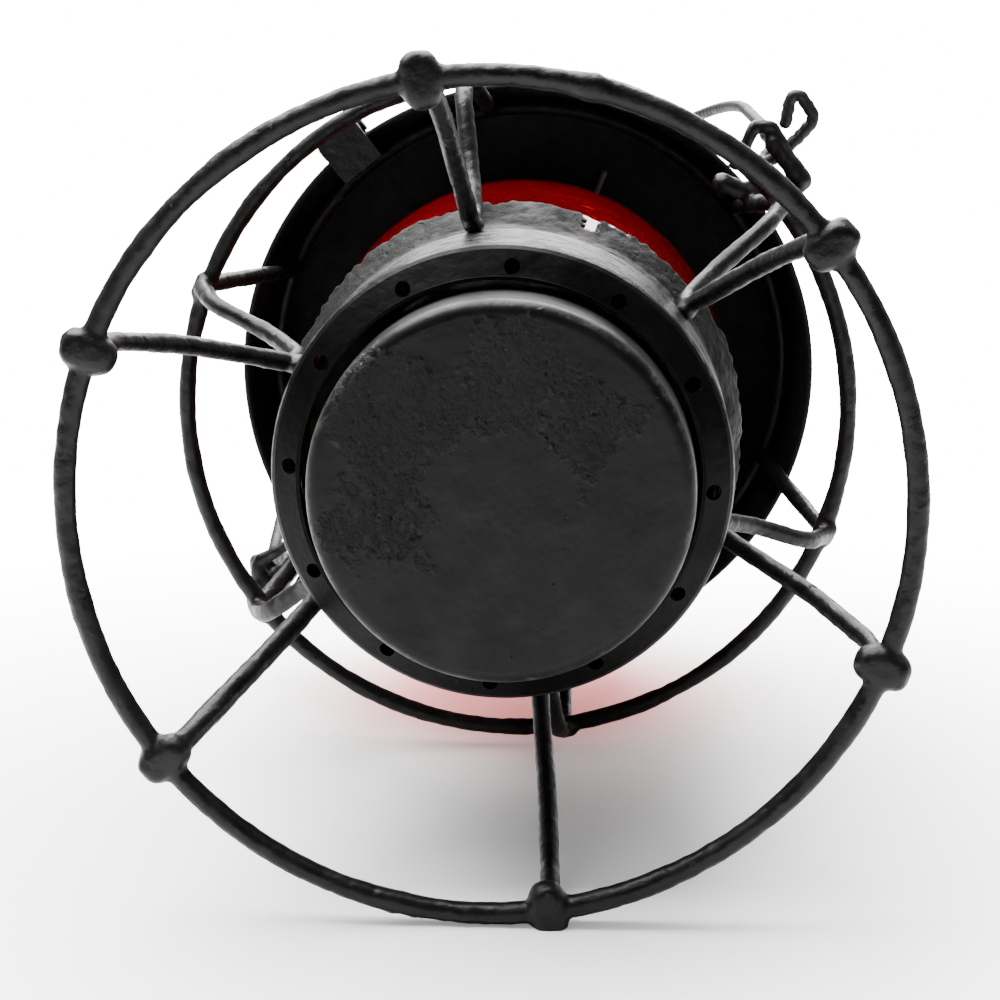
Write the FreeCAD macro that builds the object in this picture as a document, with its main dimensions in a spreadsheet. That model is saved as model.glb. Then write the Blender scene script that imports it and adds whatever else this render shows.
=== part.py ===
import FreeCAD, Part
import math
import os

# Hand lantern with a wire cage, a drop-in oil fount and a hinged hood.
# Millimetres. +Z is up, the origin is on the ground under the middle of the foot ring.
# +X runs towards one bail ear, -Y towards the hood's hinge.

V = FreeCAD.Vector
doc = FreeCAD.newDocument("lantern")

# ---------------------------------------------------------------- driving dimensions
DIMS = [
    ("lift", 3.6, "height of the foot ring's centreline above the ground"),
    ("foot_rad", 86.0, "foot ring centreline radius"),
    ("foot_wire", 2.4, "foot ring wire radius (3/16 inch wire)"),
    ("lug_rad", 4.2, "foot lug radius"),
    ("lug_in", 80.6, "foot lug inner end radius"),
    ("lug_out", 91.6, "foot lug outer end radius"),
    ("rod_rad", 2.2, "upright wire radius"),
    ("rod_thick", 2.5, "radius of the heavier left upright"),
    ("guard_rad", 83.7, "guard ring centreline radius"),
    ("guard_z", 118.0, "guard ring height above the foot ring"),
    ("sheet", 0.8, "sheet steel thickness"),
    ("collar_rad", 50.3, "base collar outer radius"),
    ("collar_hole", 43.1, "fount opening radius"),
    ("collar_low", 29.5, "inner lip height of the collar flange"),
    ("collar_edge", 34.2, "flange outer edge height"),
    ("collar_top", 68.0, "collar wall top"),
    ("collar_x", 0.82, "sideways set of the collar and gallery, along X"),
    ("collar_y", 0.65, "sideways set of the collar and gallery, along Y"),
    ("draft_pcr", 45.7, "draft hole circle radius"),
    ("draft_rad", 1.7, "draft hole radius"),
    ("gallery_top", 90.0, "gallery rim height"),
    ("gallery_rad", 55.2, "gallery rim outer radius"),
    ("seat_z", 79.0, "globe seat height"),
    ("seat_hole", 30.0, "globe seat hole radius"),
    ("globe_wall", 3.0, "glass thickness"),
    ("top_rad", 72.7, "top ring centreline radius"),
    ("top_wire", 2.0, "top ring wire radius"),
    ("top_z", 200.4, "top ring height"),
    ("rim_rad", 79.0, "hood rim outer radius"),
    ("rim_z", 182.0, "hood rim height"),
    ("hood_rad", 76.6, "hood radius at the shoulder"),
    ("hood_z", 203.0, "hood shoulder height"),
    ("neck_rad", 34.0, "vent neck outer radius"),
    ("neck_z", 224.0, "vent neck foot height"),
    ("cap_rad", 45.0, "smoke cap radius"),
    ("cap_z", 240.0, "smoke cap rim height"),
    ("pivot_z", 172.0, "bail pivot height"),
    ("pivot_y", -2.5, "bail pivot line offset from the axis"),
    ("bail_wire", 1.8, "bail wire radius"),
    ("bail_half", 94.0, "half width of the bail, arch radius"),
    ("bail_leg", 80.0, "straight leg of the bail"),
    ("hinge_y", -82.2, "hood hinge pin position"),
    ("hinge_z", 184.6, "hood hinge pin height"),
    ("pin_rad", 1.2, "hood hinge pin radius"),
    ("fount_rad", 40.85, "fount wall outer radius"),
    ("fount_x", 1.67, "sideways set of the fount in its opening, along X"),
    ("fount_y", 0.91, "sideways set of the fount in its opening, along Y"),
    ("fount_low", 11.8, "fount underside height"),
    ("fount_top", 58.0, "fount wall top"),
    ("fount_sheet", 0.7, "fount sheet thickness"),
    ("tube_half", 8.9, "wick tube outer half width"),
    ("tube_thick", 2.3, "wick tube outer half thickness"),
    ("wick_half", 8.1, "wick half width"),
    ("wick_thick", 1.2, "wick half thickness"),
]
sheet = doc.addObject("Spreadsheet::Sheet", "dims")
VAL = {}
for row, (alias, value, note) in enumerate(DIMS, start=1):
    sheet.set("A%d" % row, alias)
    sheet.set("B%d" % row, str(value))
    sheet.setAlias("B%d" % row, alias)
    sheet.set("C%d" % row, note)
    VAL[alias] = value
doc.recompute()


class Q:
    """A length that knows its number and the spreadsheet expression behind it."""

    def __init__(self, val, ex):
        self.val, self.ex = val, ex

    def __add__(self, o):
        o = q(o)
        return Q(self.val + o.val, "(%s + %s)" % (self.ex, o.ex))

    def __sub__(self, o):
        o = q(o)
        return Q(self.val - o.val, "(%s - %s)" % (self.ex, o.ex))

    def __mul__(self, k):
        return Q(self.val * k, "(%s * %s)" % (self.ex, k))

    def __neg__(self):
        return Q(-self.val, "(0 - %s)" % self.ex)


def q(x):
    return x if isinstance(x, Q) else Q(float(x), "%.4f" % float(x))


def d(name):
    return Q(VAL[name], "dims.%s" % name)


LIFT = d("lift")


def zz(x):
    """A height above the foot ring's centreline, as a height above the ground."""
    return LIFT + x


PARTS = []


def keep(obj, label):
    obj.Label = label
    PARTS.append(obj)
    return obj


def plane_of(body, role):
    return [o for o in body.Origin.OriginFeatures if o.Role == role][0]


def poly_sketch(body, role, verts, name):
    """A closed polygon in one of the body's origin planes; every corner is bound to the sheet."""
    sk = body.newObject("Sketcher::SketchObject", name)
    sk.AttachmentSupport = [(plane_of(body, role), "")]
    sk.MapMode = "FlatFace"
    n = len(verts)
    pts = [V(a.val, b.val, 0) for a, b in verts]
    for i in range(n):
        sk.addGeometry(Part.LineSegment(pts[i], pts[(i + 1) % n]), False)
    import Sketcher

    for i in range(n):
        sk.addConstraint(Sketcher.Constraint("Coincident", i, 2, (i + 1) % n, 1))
    for i, (a, b) in enumerate(verts):
        for kind, c in (("DistanceX", a), ("DistanceY", b)):
            if abs(c.val) < 1e-9:
                # on an axis of the sketch
                sk.addConstraint(Sketcher.Constraint("PointOnObject", i, 1, -2 if kind == "DistanceX" else -1))
            else:
                k = sk.addConstraint(Sketcher.Constraint(kind, -1, 1, i, 1, c.val))
                sk.setExpression("Constraints[%d]" % k, c.ex)
    return sk


def turned(label, verts, fillets=()):
    """A body turned about Z from a closed (radius, height) outline; fillets are (radius, height, fillet radius)."""
    body = doc.addObject("PartDesign::Body", label + "_body")
    verts = [(q(a), q(b)) for a, b in verts]
    sk = poly_sketch(body, "XZ_Plane", verts, label + "_outline")
    rev = body.newObject("PartDesign::Revolution", label + "_turn")
    rev.Profile = sk
    rev.ReferenceAxis = (sk, ["V_Axis"])
    rev.Angle = 360
    doc.recompute()
    last = rev
    for k, (r, h, f) in enumerate(fillets):
        r, h, f = q(r).val, q(h).val, q(f)
        names = []
        for i, e in enumerate(last.Shape.Edges, start=1):
            c = e.Curve
            if isinstance(c, Part.Circle) and abs(c.Radius - r) < 0.02 and abs(c.Center.z - h) < 0.02:
                names.append("Edge%d" % i)
        if not names:
            raise RuntimeError("%s: no edge at %s, %s" % (label, r, h))
        fil = body.newObject("PartDesign::Fillet", "%s_round%d" % (label, k))
        fil.Base = (last, names)
        fil.setExpression("Radius", f.ex)
        doc.recompute()
        last = fil
    body.Tip = last
    doc.recompute()
    return body


def torus(label, big, small, height):
    t = doc.addObject("Part::Torus", label)
    t.setExpression("Radius1", q(big).ex)
    t.setExpression("Radius2", q(small).ex)
    t.setExpression("Placement.Base.z", q(height).ex)
    doc.recompute()
    return t


def cylinder(label, rad, tall, x=0, y=0, z=0, rot=None):
    c = doc.addObject("Part::Cylinder", label)
    c.setExpression("Radius", q(rad).ex)
    c.setExpression("Height", q(tall).ex)
    if rot is not None:
        c.Placement = FreeCAD.Placement(V(0, 0, 0), rot)
    for axis, v in (("x", x), ("y", y), ("z", z)):
        c.setExpression("Placement.Base." + axis, q(v).ex)
    return c


def box(label, x0, x1, y0, y1, z0, z1):
    b = doc.addObject("Part::Box", label)
    x0, x1, y0, y1, z0, z1 = [q(v) for v in (x0, x1, y0, y1, z0, z1)]
    b.setExpression("Length", (x1 - x0).ex)
    b.setExpression("Width", (y1 - y0).ex)
    b.setExpression("Height", (z1 - z0).ex)
    for axis, v in (("x", x0), ("y", y0), ("z", z0)):
        b.setExpression("Placement.Base." + axis, v.ex)
    return b


def fused(label, objs):
    f = doc.addObject("Part::MultiFuse", label)
    f.Shapes = objs
    f.Refine = True
    doc.recompute()
    return f


def cut(label, base, tool):
    c = doc.addObject("Part::Cut", label)
    c.Base, c.Tool = base, tool
    c.Refine = False
    doc.recompute()
    return c


def feature(label, shape, placement=None):
    f = doc.addObject("Part::Feature", label + "_solid")
    f.Shape = shape
    if placement is not None:
        f.Placement = placement
    return f


def bent(points, radii, wire):
    """Round wire bent along straight runs joined by tangent arcs; radii holds one bend radius for each inner point."""
    pts = [V(*p) for p in points]
    edges, start = [], pts[0]
    for i in range(1, len(pts) - 1):
        p = pts[i]
        d1 = (p - pts[i - 1]).normalize()
        d2 = (pts[i + 1] - p).normalize()
        turn = math.acos(max(-1.0, min(1.0, d1.dot(d2))))
        r = radii[i - 1]
        t = r * math.tan(turn / 2)
        room = min((p - pts[i - 1]).Length, (pts[i + 1] - p).Length)
        if t > 0.495 * room:
            t = 0.495 * room
            r = t / math.tan(turn / 2)
        a, b = p - d1 * t, p + d2 * t
        bis = (d2 - d1).normalize()
        mid = p + bis * (r / math.cos(turn / 2) - r)
        if (a - start).Length > 1e-6:
            edges.append(Part.LineSegment(start, a).toShape())
        edges.append(Part.Arc(a, mid, b).toShape())
        start = b
    edges.append(Part.LineSegment(start, pts[-1]).toShape())
    path = Part.Wire(edges)
    d0 = (pts[1] - pts[0]).normalize()
    ring = Part.Wire([Part.Circle(pts[0], d0, wire).toShape()])
    solid = path.makePipeShell([ring], True, False)
    expect = math.pi * wire * wire * path.Length
    if abs(abs(solid.Volume) - expect) > 0.02 * expect:
        raise RuntimeError("bent wire volume %.1f, expected %.1f" % (solid.Volume, expect))
    return solid


def spin(shape, deg):
    s = shape.copy()
    s.rotate(V(0, 0, 0), V(0, 0, 1), deg)
    return s


lift = VAL["lift"]

# ================================================================ cage
foot_ring = keep(torus("foot_ring_torus", d("foot_rad"), d("foot_wire"), LIFT), "foot_ring")

# The six upright wires. Each rises out of its foot lug, leans in to the collar, runs up against it,
# turns out to the guard ring, is let half round it and leans in to the top ring.
wire_r = VAL["rod_rad"]
usual = [(86.0, 0.0), (84.7, 18.0), (74.5, 41.0), (52.7, 67.5), (52.7, 78.5), (62.0, 91.5), (78.5, 99.5), (85.3, 118.0), (72.4, 198.3)]
usual_bends = [16.0, 45.0, 7.0, 9.0, 25.0, 12.0, 9.0]
heavy = [(84.5, 0.0), (80.4, 3.6), (60.3, 41.0), (52.9, 62.0), (52.9, 78.5), (62.0, 91.5), (78.5, 99.5), (85.3, 118.0), (72.4, 198.3)]
heavy_bends = [2.6, 45.0, 14.0, 9.0, 25.0, 12.0, 9.0]
guard_tool = Part.makeTorus(VAL["guard_rad"], VAL["rod_rad"] + 0.02, V(0, 0, lift + VAL["guard_z"]))
ring_tool = Part.makeTorus(VAL["foot_rad"], VAL["foot_wire"], V(0, 0, lift))
ring_room = Part.makeTorus(VAL["foot_rad"], VAL["foot_wire"] + 0.02, V(0, 0, lift))
top_room = Part.makeTorus(VAL["top_rad"], VAL["top_wire"] + 0.02, V(0, 0, lift + VAL["top_z"]))
UPRIGHTS = [
    ("upright_right", 0.0, usual, usual_bends, wire_r),
    ("upright_back_right", 60.0, usual, usual_bends, wire_r),
    ("upright_back_left", 120.0, usual, usual_bends, wire_r),
    ("upright_left", 180.0, heavy, heavy_bends, VAL["rod_thick"]),
    ("upright_front_left", 240.0, usual, usual_bends, wire_r),
    ("upright_front_right", 300.0, usual, usual_bends, wire_r),
]
cx, cy = VAL["collar_x"], VAL["collar_y"]
collar_room = Part.makeCylinder(VAL["collar_rad"] + 0.02, VAL["seat_z"] - 30.0, V(cx, cy, lift + 30.0)).fuse(
    Part.makeCone(VAL["collar_rad"] + 0.02, VAL["gallery_rad"] + 0.02, VAL["gallery_top"] - VAL["seat_z"], V(cx, cy, lift + VAL["seat_z"])))
upright_shapes = []
for label, angle, path, bends, rad in UPRIGHTS:
    solid = bent([(r, 0, h + lift) for r, h in path], bends, rad)
    solid = solid.cut(guard_tool).cut(ring_room).cut(top_room)
    solid = spin(solid, angle).cut(collar_room)
    if len(solid.Solids) > 1:
        solid = max(solid.Solids, key=lambda s: s.Volume)
    upright_shapes.append(solid)
    keep(feature(label, solid), label)

# Cast foot lugs: a rounded barrel round the ring and the foot of each upright, filed flat underneath.
lugs = []
for k, (label, angle, path, bends, rad) in enumerate(UPRIGHTS):
    lr, li, lo = VAL["lug_rad"], VAL["lug_in"], VAL["lug_out"]
    barrel = Part.makeCylinder(lr, lo - li, V(li, 0, lift), V(1, 0, 0))
    barrel = barrel.makeFillet(3.0, [e for e in barrel.Edges if isinstance(e.Curve, Part.Circle)])
    flat = Part.makeBox(40, 40, 20, V(li - 10, -20, -20))
    barrel = barrel.cut(flat)
    barrel = spin(barrel, angle).cut(ring_tool).cut(upright_shapes[k])
    lugs.append(max(barrel.Solids, key=lambda s: s.Volume))
keep(feature("foot_lugs", Part.makeCompound(lugs)), "foot_lugs")

guard_ring = keep(torus("guard_ring_torus", d("guard_rad"), d("rod_rad"), zz(d("guard_z"))), "guard_ring")

# Base collar: a dished flange with a lip round the fount opening, and a straight wall rolled up from its edge.
t = d("sheet")
cr, ch = d("collar_rad"), d("collar_hole")


def set_collar(obj):
    """The collar sits a little off the lantern's axis, and the gallery and the globe's seat with it."""
    obj.setExpression("Placement.Base.x", "dims.collar_x")
    obj.setExpression("Placement.Base.y", "dims.collar_y")
    return obj


flange = turned(
    "flange",
    [
        (ch, zz(d("collar_low") - 1.2)),
        (ch + t, zz(d("collar_low") - 1.2)),
        (ch + t, zz(d("collar_low") + 0.2)),
        (cr - 2.3, zz(d("collar_edge") - 1.7)),
        (cr - 1.1, zz(d("collar_edge") - 0.85)),
        (cr - 0.35, zz(d("collar_edge") + 0.1)),
        (cr, zz(d("collar_edge") + 1.2)),
        (cr - t - 0.1, zz(d("collar_edge") + 1.2)),
        (ch, zz(d("collar_low") + 1.3)),
    ],
)
band = turned(
    "collar_band",
    [
        (cr, zz(d("collar_edge") + 1.2)),
        (cr, zz(d("collar_top"))),
        (cr - t, zz(d("collar_top"))),
        (cr - t, zz(d("collar_edge") + 1.2)),
    ],
)
keep(set_collar(band), "collar_band")
holes = []
for k in range(12):
    a = math.radians(11.5 + 30 * k)
    c = cylinder("draft_hole_%d" % k, d("draft_rad"), q(14.0), d("draft_pcr") * math.cos(a), d("draft_pcr") * math.sin(a), zz(d("collar_low") - 4.0))
    holes.append(c)
hole_set = fused("draft_hole_set", holes)
base_flange = keep(set_collar(cut("base_flange_cut", flange, hole_set)), "base_flange")

# Gallery: a thin band that flares round the globe's foot, with one slot.
gr = d("gallery_rad")
gallery = turned(
    "gallery",
    [
        (cr - t - 0.9, zz(62.0)),
        (cr - t - 0.1, zz(62.0)),
        (cr - t - 0.1, zz(d("collar_top") + 0.6)),
        (cr - 0.1, zz(d("collar_top") + 4.5)),
        (cr, zz(79.0)),
        (gr, zz(d("gallery_top"))),
        (gr - t, zz(d("gallery_top"))),
        (cr - t, zz(79.3)),
        (cr - t - 0.1, zz(d("collar_top") + 4.7)),
        (cr - t - 0.9, zz(d("collar_top") + 1.0)),
    ],
)
slot_tool = box("gallery_slot_box", 48.0, 59.5, -1.7, 1.7, zz(83.0), zz(92.0))
slot_tool.Placement = FreeCAD.Placement(V(0, 0, 0), FreeCAD.Rotation(V(0, 0, 1), 0))
slot_tool.setExpression("Placement.Base.x", "48 * cos(-31.5 deg) - (-1.7) * sin(-31.5 deg)")
slot_tool.setExpression("Placement.Base.y", "48 * sin(-31.5 deg) + (-1.7) * cos(-31.5 deg)")
slot_tool.setExpression("Placement.Base.z", zz(83.0).ex)
slot_tool.setExpression("Placement.Rotation.Angle", "328.5 deg")
globe_gallery = keep(set_collar(cut("globe_gallery_cut", gallery, slot_tool)), "globe_gallery")

# Globe seat: a ring with a turned-up lip, standing on a skirt inside the gallery.
sz, sh = d("seat_z"), d("seat_hole")
seat = turned(
    "globe_seat",
    [
        (sh, zz(sz)),
        (cr - 1.75, zz(sz)),
        (cr - 1.75, zz(sz + 0.8)),
        (sh, zz(sz + 0.8)),
    ],
)
keep(set_collar(seat), "globe_seat")
skirt = turned(
    "seat_skirt",
    [
        (cr - 2.4, zz(sz - 11.0)),
        (cr - 1.75, zz(sz - 11.0)),
        (cr - 1.75, zz(sz)),
        (cr - 2.4, zz(sz)),
    ],
)
keep(set_collar(skirt), "seat_skirt")

# Three leaf springs inside the collar that grip the fount.
clips = []
fx, fy = VAL["fount_x"], VAL["fount_y"]
fount_room = Part.makeCylinder(VAL["fount_rad"] + 0.35, 80, V(fx, fy, 20))
wall_room = Part.makeCylinder(60, 90, V(0, 0, 10)).cut(Part.makeCylinder(VAL["collar_rad"] - VAL["sheet"] - 1.0, 90, V(0, 0, 10)))
for k in range(3):
    a = math.radians(30 + 120 * k)
    reach = VAL["fount_rad"] + 0.3 + (fx - cx) * math.cos(a) + (fy - cy) * math.sin(a)
    prof = [(48.3, 66.0), (47.6, 66.0), (47.6, 60.5), (reach, 51.6), (46.9, 42.6), (47.5, 43.0), (reach + 0.9, 51.6), (48.3, 60.2)]
    face = Part.Face(Part.makePolygon([V(p, 0, h + lift) for p, h in prof + prof[:1]]))
    leaf = face.extrude(V(0, 9.0, 0))
    leaf.translate(V(0, -4.5, 0))
    leaf = spin(leaf, 30 + 120 * k).cut(wall_room)
    leaf.translate(V(cx, cy, 0))
    clips.append(leaf.cut(fount_room))
keep(feature("fount_clips", Part.makeCompound([max(c.Solids, key=lambda s: s.Volume) for c in clips])), "fount_clips")

top_ring = keep(torus("top_ring_torus", d("top_rad"), d("top_wire"), zz(d("top_z"))), "top_ring")

# Hinge bracket at -Y: hangs from the top ring inside the hood, is folded under the rim
# and carries two knuckles outside it.
hy, hz, pr = d("hinge_y"), zz(d("hinge_z")), d("pin_rad")
hb = [
    box("hb_leg", -6.4, 6.4, -73.3, -72.1, zz(179.2), zz(198.2)),
    box("hb_plate", -6.4, 6.4, hy - 2.3, -72.1, zz(178.0), zz(179.3)),
    box("hb_web_l", -6.4, -2.6, hy - 2.3, hy + 0.6, zz(178.0), hz),
    box("hb_web_r", 2.6, 6.4, hy - 2.3, hy + 0.6, zz(178.0), hz),
    cylinder("hb_knuckle_l", 2.3, 3.8, -6.4, hy, hz, FreeCAD.Rotation(V(0, 1, 0), 90)),
    cylinder("hb_knuckle_r", 2.3, 3.8, 2.6, hy, hz, FreeCAD.Rotation(V(0, 1, 0), 90)),
]
hb_all = fused("hinge_bracket_all", hb)
hb_bore = cylinder("hb_bore", pr, 20.0, -10.0, hy, hz, FreeCAD.Rotation(V(0, 1, 0), 90))
keep(cut("hinge_bracket_cut", hb_all, hb_bore), "hinge_bracket")

pin_shaft = cylinder("hp_shaft", pr, 12.8, -6.4, hy, hz, FreeCAD.Rotation(V(0, 1, 0), 90))
pin_head_l = cylinder("hp_head_l", 1.9, 0.9, -7.3, hy, hz, FreeCAD.Rotation(V(0, 1, 0), 90))
pin_head_r = cylinder("hp_head_r", 1.9, 0.9, 6.4, hy, hz, FreeCAD.Rotation(V(0, 1, 0), 90))
keep(fused("hinge_pin_all", [pin_shaft, pin_head_l, pin_head_r]), "hinge_pin")

# Latch catch, 20 degrees round from +Y: a strap from the top ring, folded under the rim and turned up into a lip outside it.
lc = [
    box("lc_leg", -4.5, 4.5, 72.1, 73.3, zz(179.2), zz(198.2)),
    box("lc_plate", -4.5, 4.5, 72.1, 81.6, zz(178.0), zz(179.3)),
    box("lc_lip", -4.5, 4.5, 80.5, 81.6, zz(178.0), zz(183.2)),
]
latch_turn = FreeCAD.Rotation(V(0, 0, 1), 20.0)
catch = keep(fused("latch_catch_all", lc), "latch_catch")
catch.Placement = FreeCAD.Placement(V(0, 0, 0), latch_turn)

# Bail ears: bent wire with an upright eye, tacked to the right and left uprights.
yaw = math.degrees(math.atan2(-6.0, 183.5))
pz, py = lift + VAL["pivot_z"], VAL["pivot_y"]


def on_pivot(s, off=0.0):
    """Point on the bail's pivot line at distance s from the middle, moved off along the line's level normal."""
    a = math.radians(yaw)
    return (s * math.cos(a) - off * math.sin(a), py + s * math.sin(a) + off * math.cos(a))


def eye(side):
    cx, cy = on_pivot(side * 92.6)
    return Part.makeTorus(6.0, 2.0, V(cx, cy, pz), V(math.cos(math.radians(yaw)), math.sin(math.radians(yaw)), 0))


def bar(p0, p1, rad):
    """A straight round bar with half-round ends."""
    a, b = V(*p0), V(*p1)
    return Part.makeCylinder(rad, (b - a).Length, a, b - a).fuse(Part.makeSphere(rad, a)).fuse(Part.makeSphere(rad, b))


def at(points):
    return [(x, y, h + lift) for x, y, h in points]


loop_r = bent(
    at([(79.6, -5.2, 164.3), (83.4, 2.8, 165.2), (87.0, 5.2, 166.0), (92.2, 4.2, 166.0), (93.2, -4.0, 166.0), (94.5, -12.4, 166.0), (91.4, -16.4, 166.0), (86.5, -13.5, 166.0), (79.6, -10.3, 166.3)]),
    [4.0, 3.0, 3.0, 20.0, 3.0, 3.0, 8.0],
    1.7,
)
ear_r = eye(1).fuse(loop_r).fuse(bar((92.3, -9.2, lift + 166.0), (92.2, 3.4, lift + 166.0), 2.6)).fuse(bar((75.2, -9.4, lift + 163.5), (81.9, 2.2, lift + 164.8), 2.6))
loop_l = bent(
    at([(-79.3, -3.9, 166.0), (-91.3, -5.9, 166.0), (-95.0, -1.0, 166.0), (-94.5, 4.7, 166.0), (-90.0, 8.1, 166.0), (-80.0, 4.2, 166.0)]),
    [3.0, 3.0, 3.0, 3.0],
    1.7,
)
ear_l = eye(-1).fuse(loop_l).fuse(bar((-94.3, -0.6, lift + 166.0), (-94.0, 3.4, lift + 166.0), 2.2))


def one_piece(label, shape):
    if len(shape.Solids) != 1:
        raise RuntimeError("%s: %d solids" % (label, len(shape.Solids)))
    return shape


keep(feature("ear_right", one_piece("ear_right", ear_r.cut(upright_shapes[0]))), "ear_right")
keep(feature("ear_left", one_piece("ear_left", ear_l.cut(upright_shapes[3]))), "ear_left")

# Red glass globe: a blown barrel, widest above its middle, open at both ends.
outer = [(38.5, 79.8), (38.5, 84.0), (43.5, 91.0), (48.6, 104.0), (52.4, 122.0), (54.5, 143.0), (55.0, 160.0), (53.6, 178.0), (50.0, 193.0), (44.6, 204.0), (42.0, 210.0), (42.0, 216.0)]
gw = VAL["globe_wall"]
oc = Part.BSplineCurve()
oc.interpolate([V(r, 0, h + lift) for r, h in outer[1:-1]])
inner = [(r - gw, h) for r, h in outer]
ic = Part.BSplineCurve()
ic.interpolate([V(r, 0, h + lift) for r, h in inner[1:-1]])


def seg(a, b):
    return Part.LineSegment(V(a[0], 0, a[1] + lift), V(b[0], 0, b[1] + lift)).toShape()


profile = Part.Wire(
    [
        seg(outer[0], outer[1]),
        oc.toShape(),
        seg(outer[-2], outer[-1]),
        seg(outer[-1], inner[-1]),
        seg(inner[-1], inner[-2]),
        ic.toShape(),
        seg(inner[1], inner[0]),
        seg(inner[0], outer[0]),
    ]
)
globe = Part.Face(profile).revolve(V(0, 0, 0), V(0, 0, 1), 360)
if globe.Volume < 0:
    globe.reverse()
keep(feature("globe", globe), "globe")

# ================================================================ hood
rr, rz, hr, hdz = d("rim_rad"), d("rim_z"), d("hood_rad"), d("hood_z")
nr, nz = d("neck_rad"), d("neck_z")
shell = turned(
    "hood",
    [
        (rr, zz(rz)),
        (hr, zz(hdz)),
        (hr - 3.4, zz(hdz + 6.6)),
        (hr - 12.0, zz(hdz + 10.6)),
        (nr + 6.0, zz(nz - 2.4)),
        (nr, zz(nz)),
        (nr - t, zz(nz)),
        (nr + 5.6, zz(nz - 3.4)),
        (hr - 12.5, zz(hdz + 9.6)),
        (hr - 4.1, zz(hdz + 5.9)),
        (hr - t, zz(hdz - 0.3)),
        (rr - t, zz(rz)),
    ],
    fillets=[
        (hr, zz(hdz), 5.0),
        (hr - t, zz(hdz - 0.3), 4.2),
        (hr - 12.0, zz(hdz + 10.6), 9.0),
    ],
)
keep(shell, "hood_shell")
keep(torus("hem_torus", rr + 0.1, 0.8, zz(rz - 0.88)), "hood_hem")

neck = turned(
    "neck",
    [
        (nr - t - 0.05, zz(nz - 2.0)),
        (nr - t - 0.05, zz(d("cap_z") + 2.0)),
        (nr - t - 0.05 - 0.7, zz(d("cap_z") + 2.0)),
        (nr - t - 0.05 - 0.7, zz(nz - 2.0)),
    ],
)
windows = []
for k in range(10):
    w = box("vent_window_%d" % k, 28.0, 38.0, -4.6, 4.6, zz(nz + 3.5), zz(nz + 12.0))
    a = 36.0 * k
    ca, sa = math.cos(math.radians(a)), math.sin(math.radians(a))
    w.setExpression("Placement.Base.x", "%.5f" % (28.0 * ca + 4.6 * sa))
    w.setExpression("Placement.Base.y", "%.5f" % (28.0 * sa - 4.6 * ca))
    w.setExpression("Placement.Rotation.Angle", "%.3f deg" % a)
    windows.append(w)
window_set = fused("vent_window_set", windows)
keep(cut("vent_neck_cut", neck, window_set), "vent_neck")

cz, cpr = d("cap_z"), d("cap_rad")
cap = turned(
    "smoke_cap",
    [
        (cpr, zz(cz)),
        (cpr, zz(cz + 2.4)),
        (cpr - 9.0, zz(cz + 6.6)),
        (cpr - 27.0, zz(cz + 9.8)),
        (0.0, zz(cz + 10.8)),
        (0.0, zz(cz + 10.0)),
        (cpr - 27.1, zz(cz + 9.0)),
        (cpr - 9.2, zz(cz + 5.8)),
        (cpr - t, zz(cz + 1.8)),
        (cpr - t, zz(cz)),
    ],
    fillets=[(cpr, zz(cz + 2.4), 2.4), (cpr - 9.0, zz(cz + 6.6), 18.0)],
)
keep(cap, "smoke_cap")

# Cap posts: three folded feet that stand on the neck and carry the cap.
feet = []
for k in range(3):
    p = Part.makeBox(0.75, 5.0, 4.2, V(32.35, -2.5, lift + VAL["cap_z"] + 2.0))
    feet.append(spin(p, 18 + 120 * k))
keep(feature("cap_feet", Part.makeCompound(feet)), "cap_feet")

# Vent baffle: a shallow disc with a ring of holes, inside the neck's foot.
baffle = turned(
    "baffle",
    [
        (0.0, zz(nz + 1.6)),
        (16.0, zz(nz + 0.6)),
        (nr - t - 0.9, zz(nz - 0.4)),
        (nr - t - 0.9, zz(nz + 0.3)),
        (16.0, zz(nz + 1.3)),
        (0.0, zz(nz + 2.3)),
    ],
)
bh = []
for k in range(12):
    a = math.radians(30 * k)
    bh.append(cylinder("baffle_hole_%d" % k, 3.2, 8.0, 23.5 * math.cos(a), 23.5 * math.sin(a), zz(nz - 3.0)))
bh.append(cylinder("baffle_hole_mid", 7.0, 8.0, 0, 0, zz(nz - 3.0)))
keep(cut("vent_baffle_cut", baffle, fused("baffle_hole_set", bh)), "vent_baffle")

# Hinge leaf on the hood: a middle knuckle and a strap up the outside of the skirt.
slope = math.atan2(VAL["rim_rad"] - VAL["hood_rad"], VAL["hood_z"] - VAL["rim_z"])


def skirt_r(h):
    return VAL["rim_rad"] - (h - VAL["rim_z"]) * math.tan(slope)


y0, z0 = VAL["hinge_y"], VAL["hinge_z"] + lift
knuckle = Part.makeCylinder(2.3, 4.8, V(-2.4, y0, z0), V(1, 0, 0))
strap = [(y0 + 0.4, z0 + 2.25), (-skirt_r(189.5) - 0.06, lift + 189.5), (-skirt_r(201.5) - 0.06, lift + 201.5), (-skirt_r(201.5) - 1.1, lift + 201.5), (-skirt_r(190.2) - 1.25, lift + 190.2), (y0 - 0.9, z0 + 2.1), (y0, z0)]
tongue = Part.Face(Part.makePolygon([V(0, a, b) for a, b in strap + strap[:1]])).extrude(V(4.8, 0, 0))
tongue.translate(V(-2.4, 0, 0))
wide = [(-skirt_r(190.6) + 3.0, lift + 190.6), (-skirt_r(201.5) + 3.0, lift + 201.5), (-skirt_r(201.5) - 1.1, lift + 201.5), (-skirt_r(190.6) - 1.2, lift + 190.6)]
plate = Part.Face(Part.makePolygon([V(0, a, b) for a, b in wide + wide[:1]])).extrude(V(15.0, 0, 0))
plate.translate(V(-7.5, 0, 0))
leaf = knuckle.fuse(tongue).fuse(plate)
leaf = leaf.cut(Part.makeCylinder(VAL["pin_rad"] + 0.05, 10, V(-5, y0, z0), V(1, 0, 0)))
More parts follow.
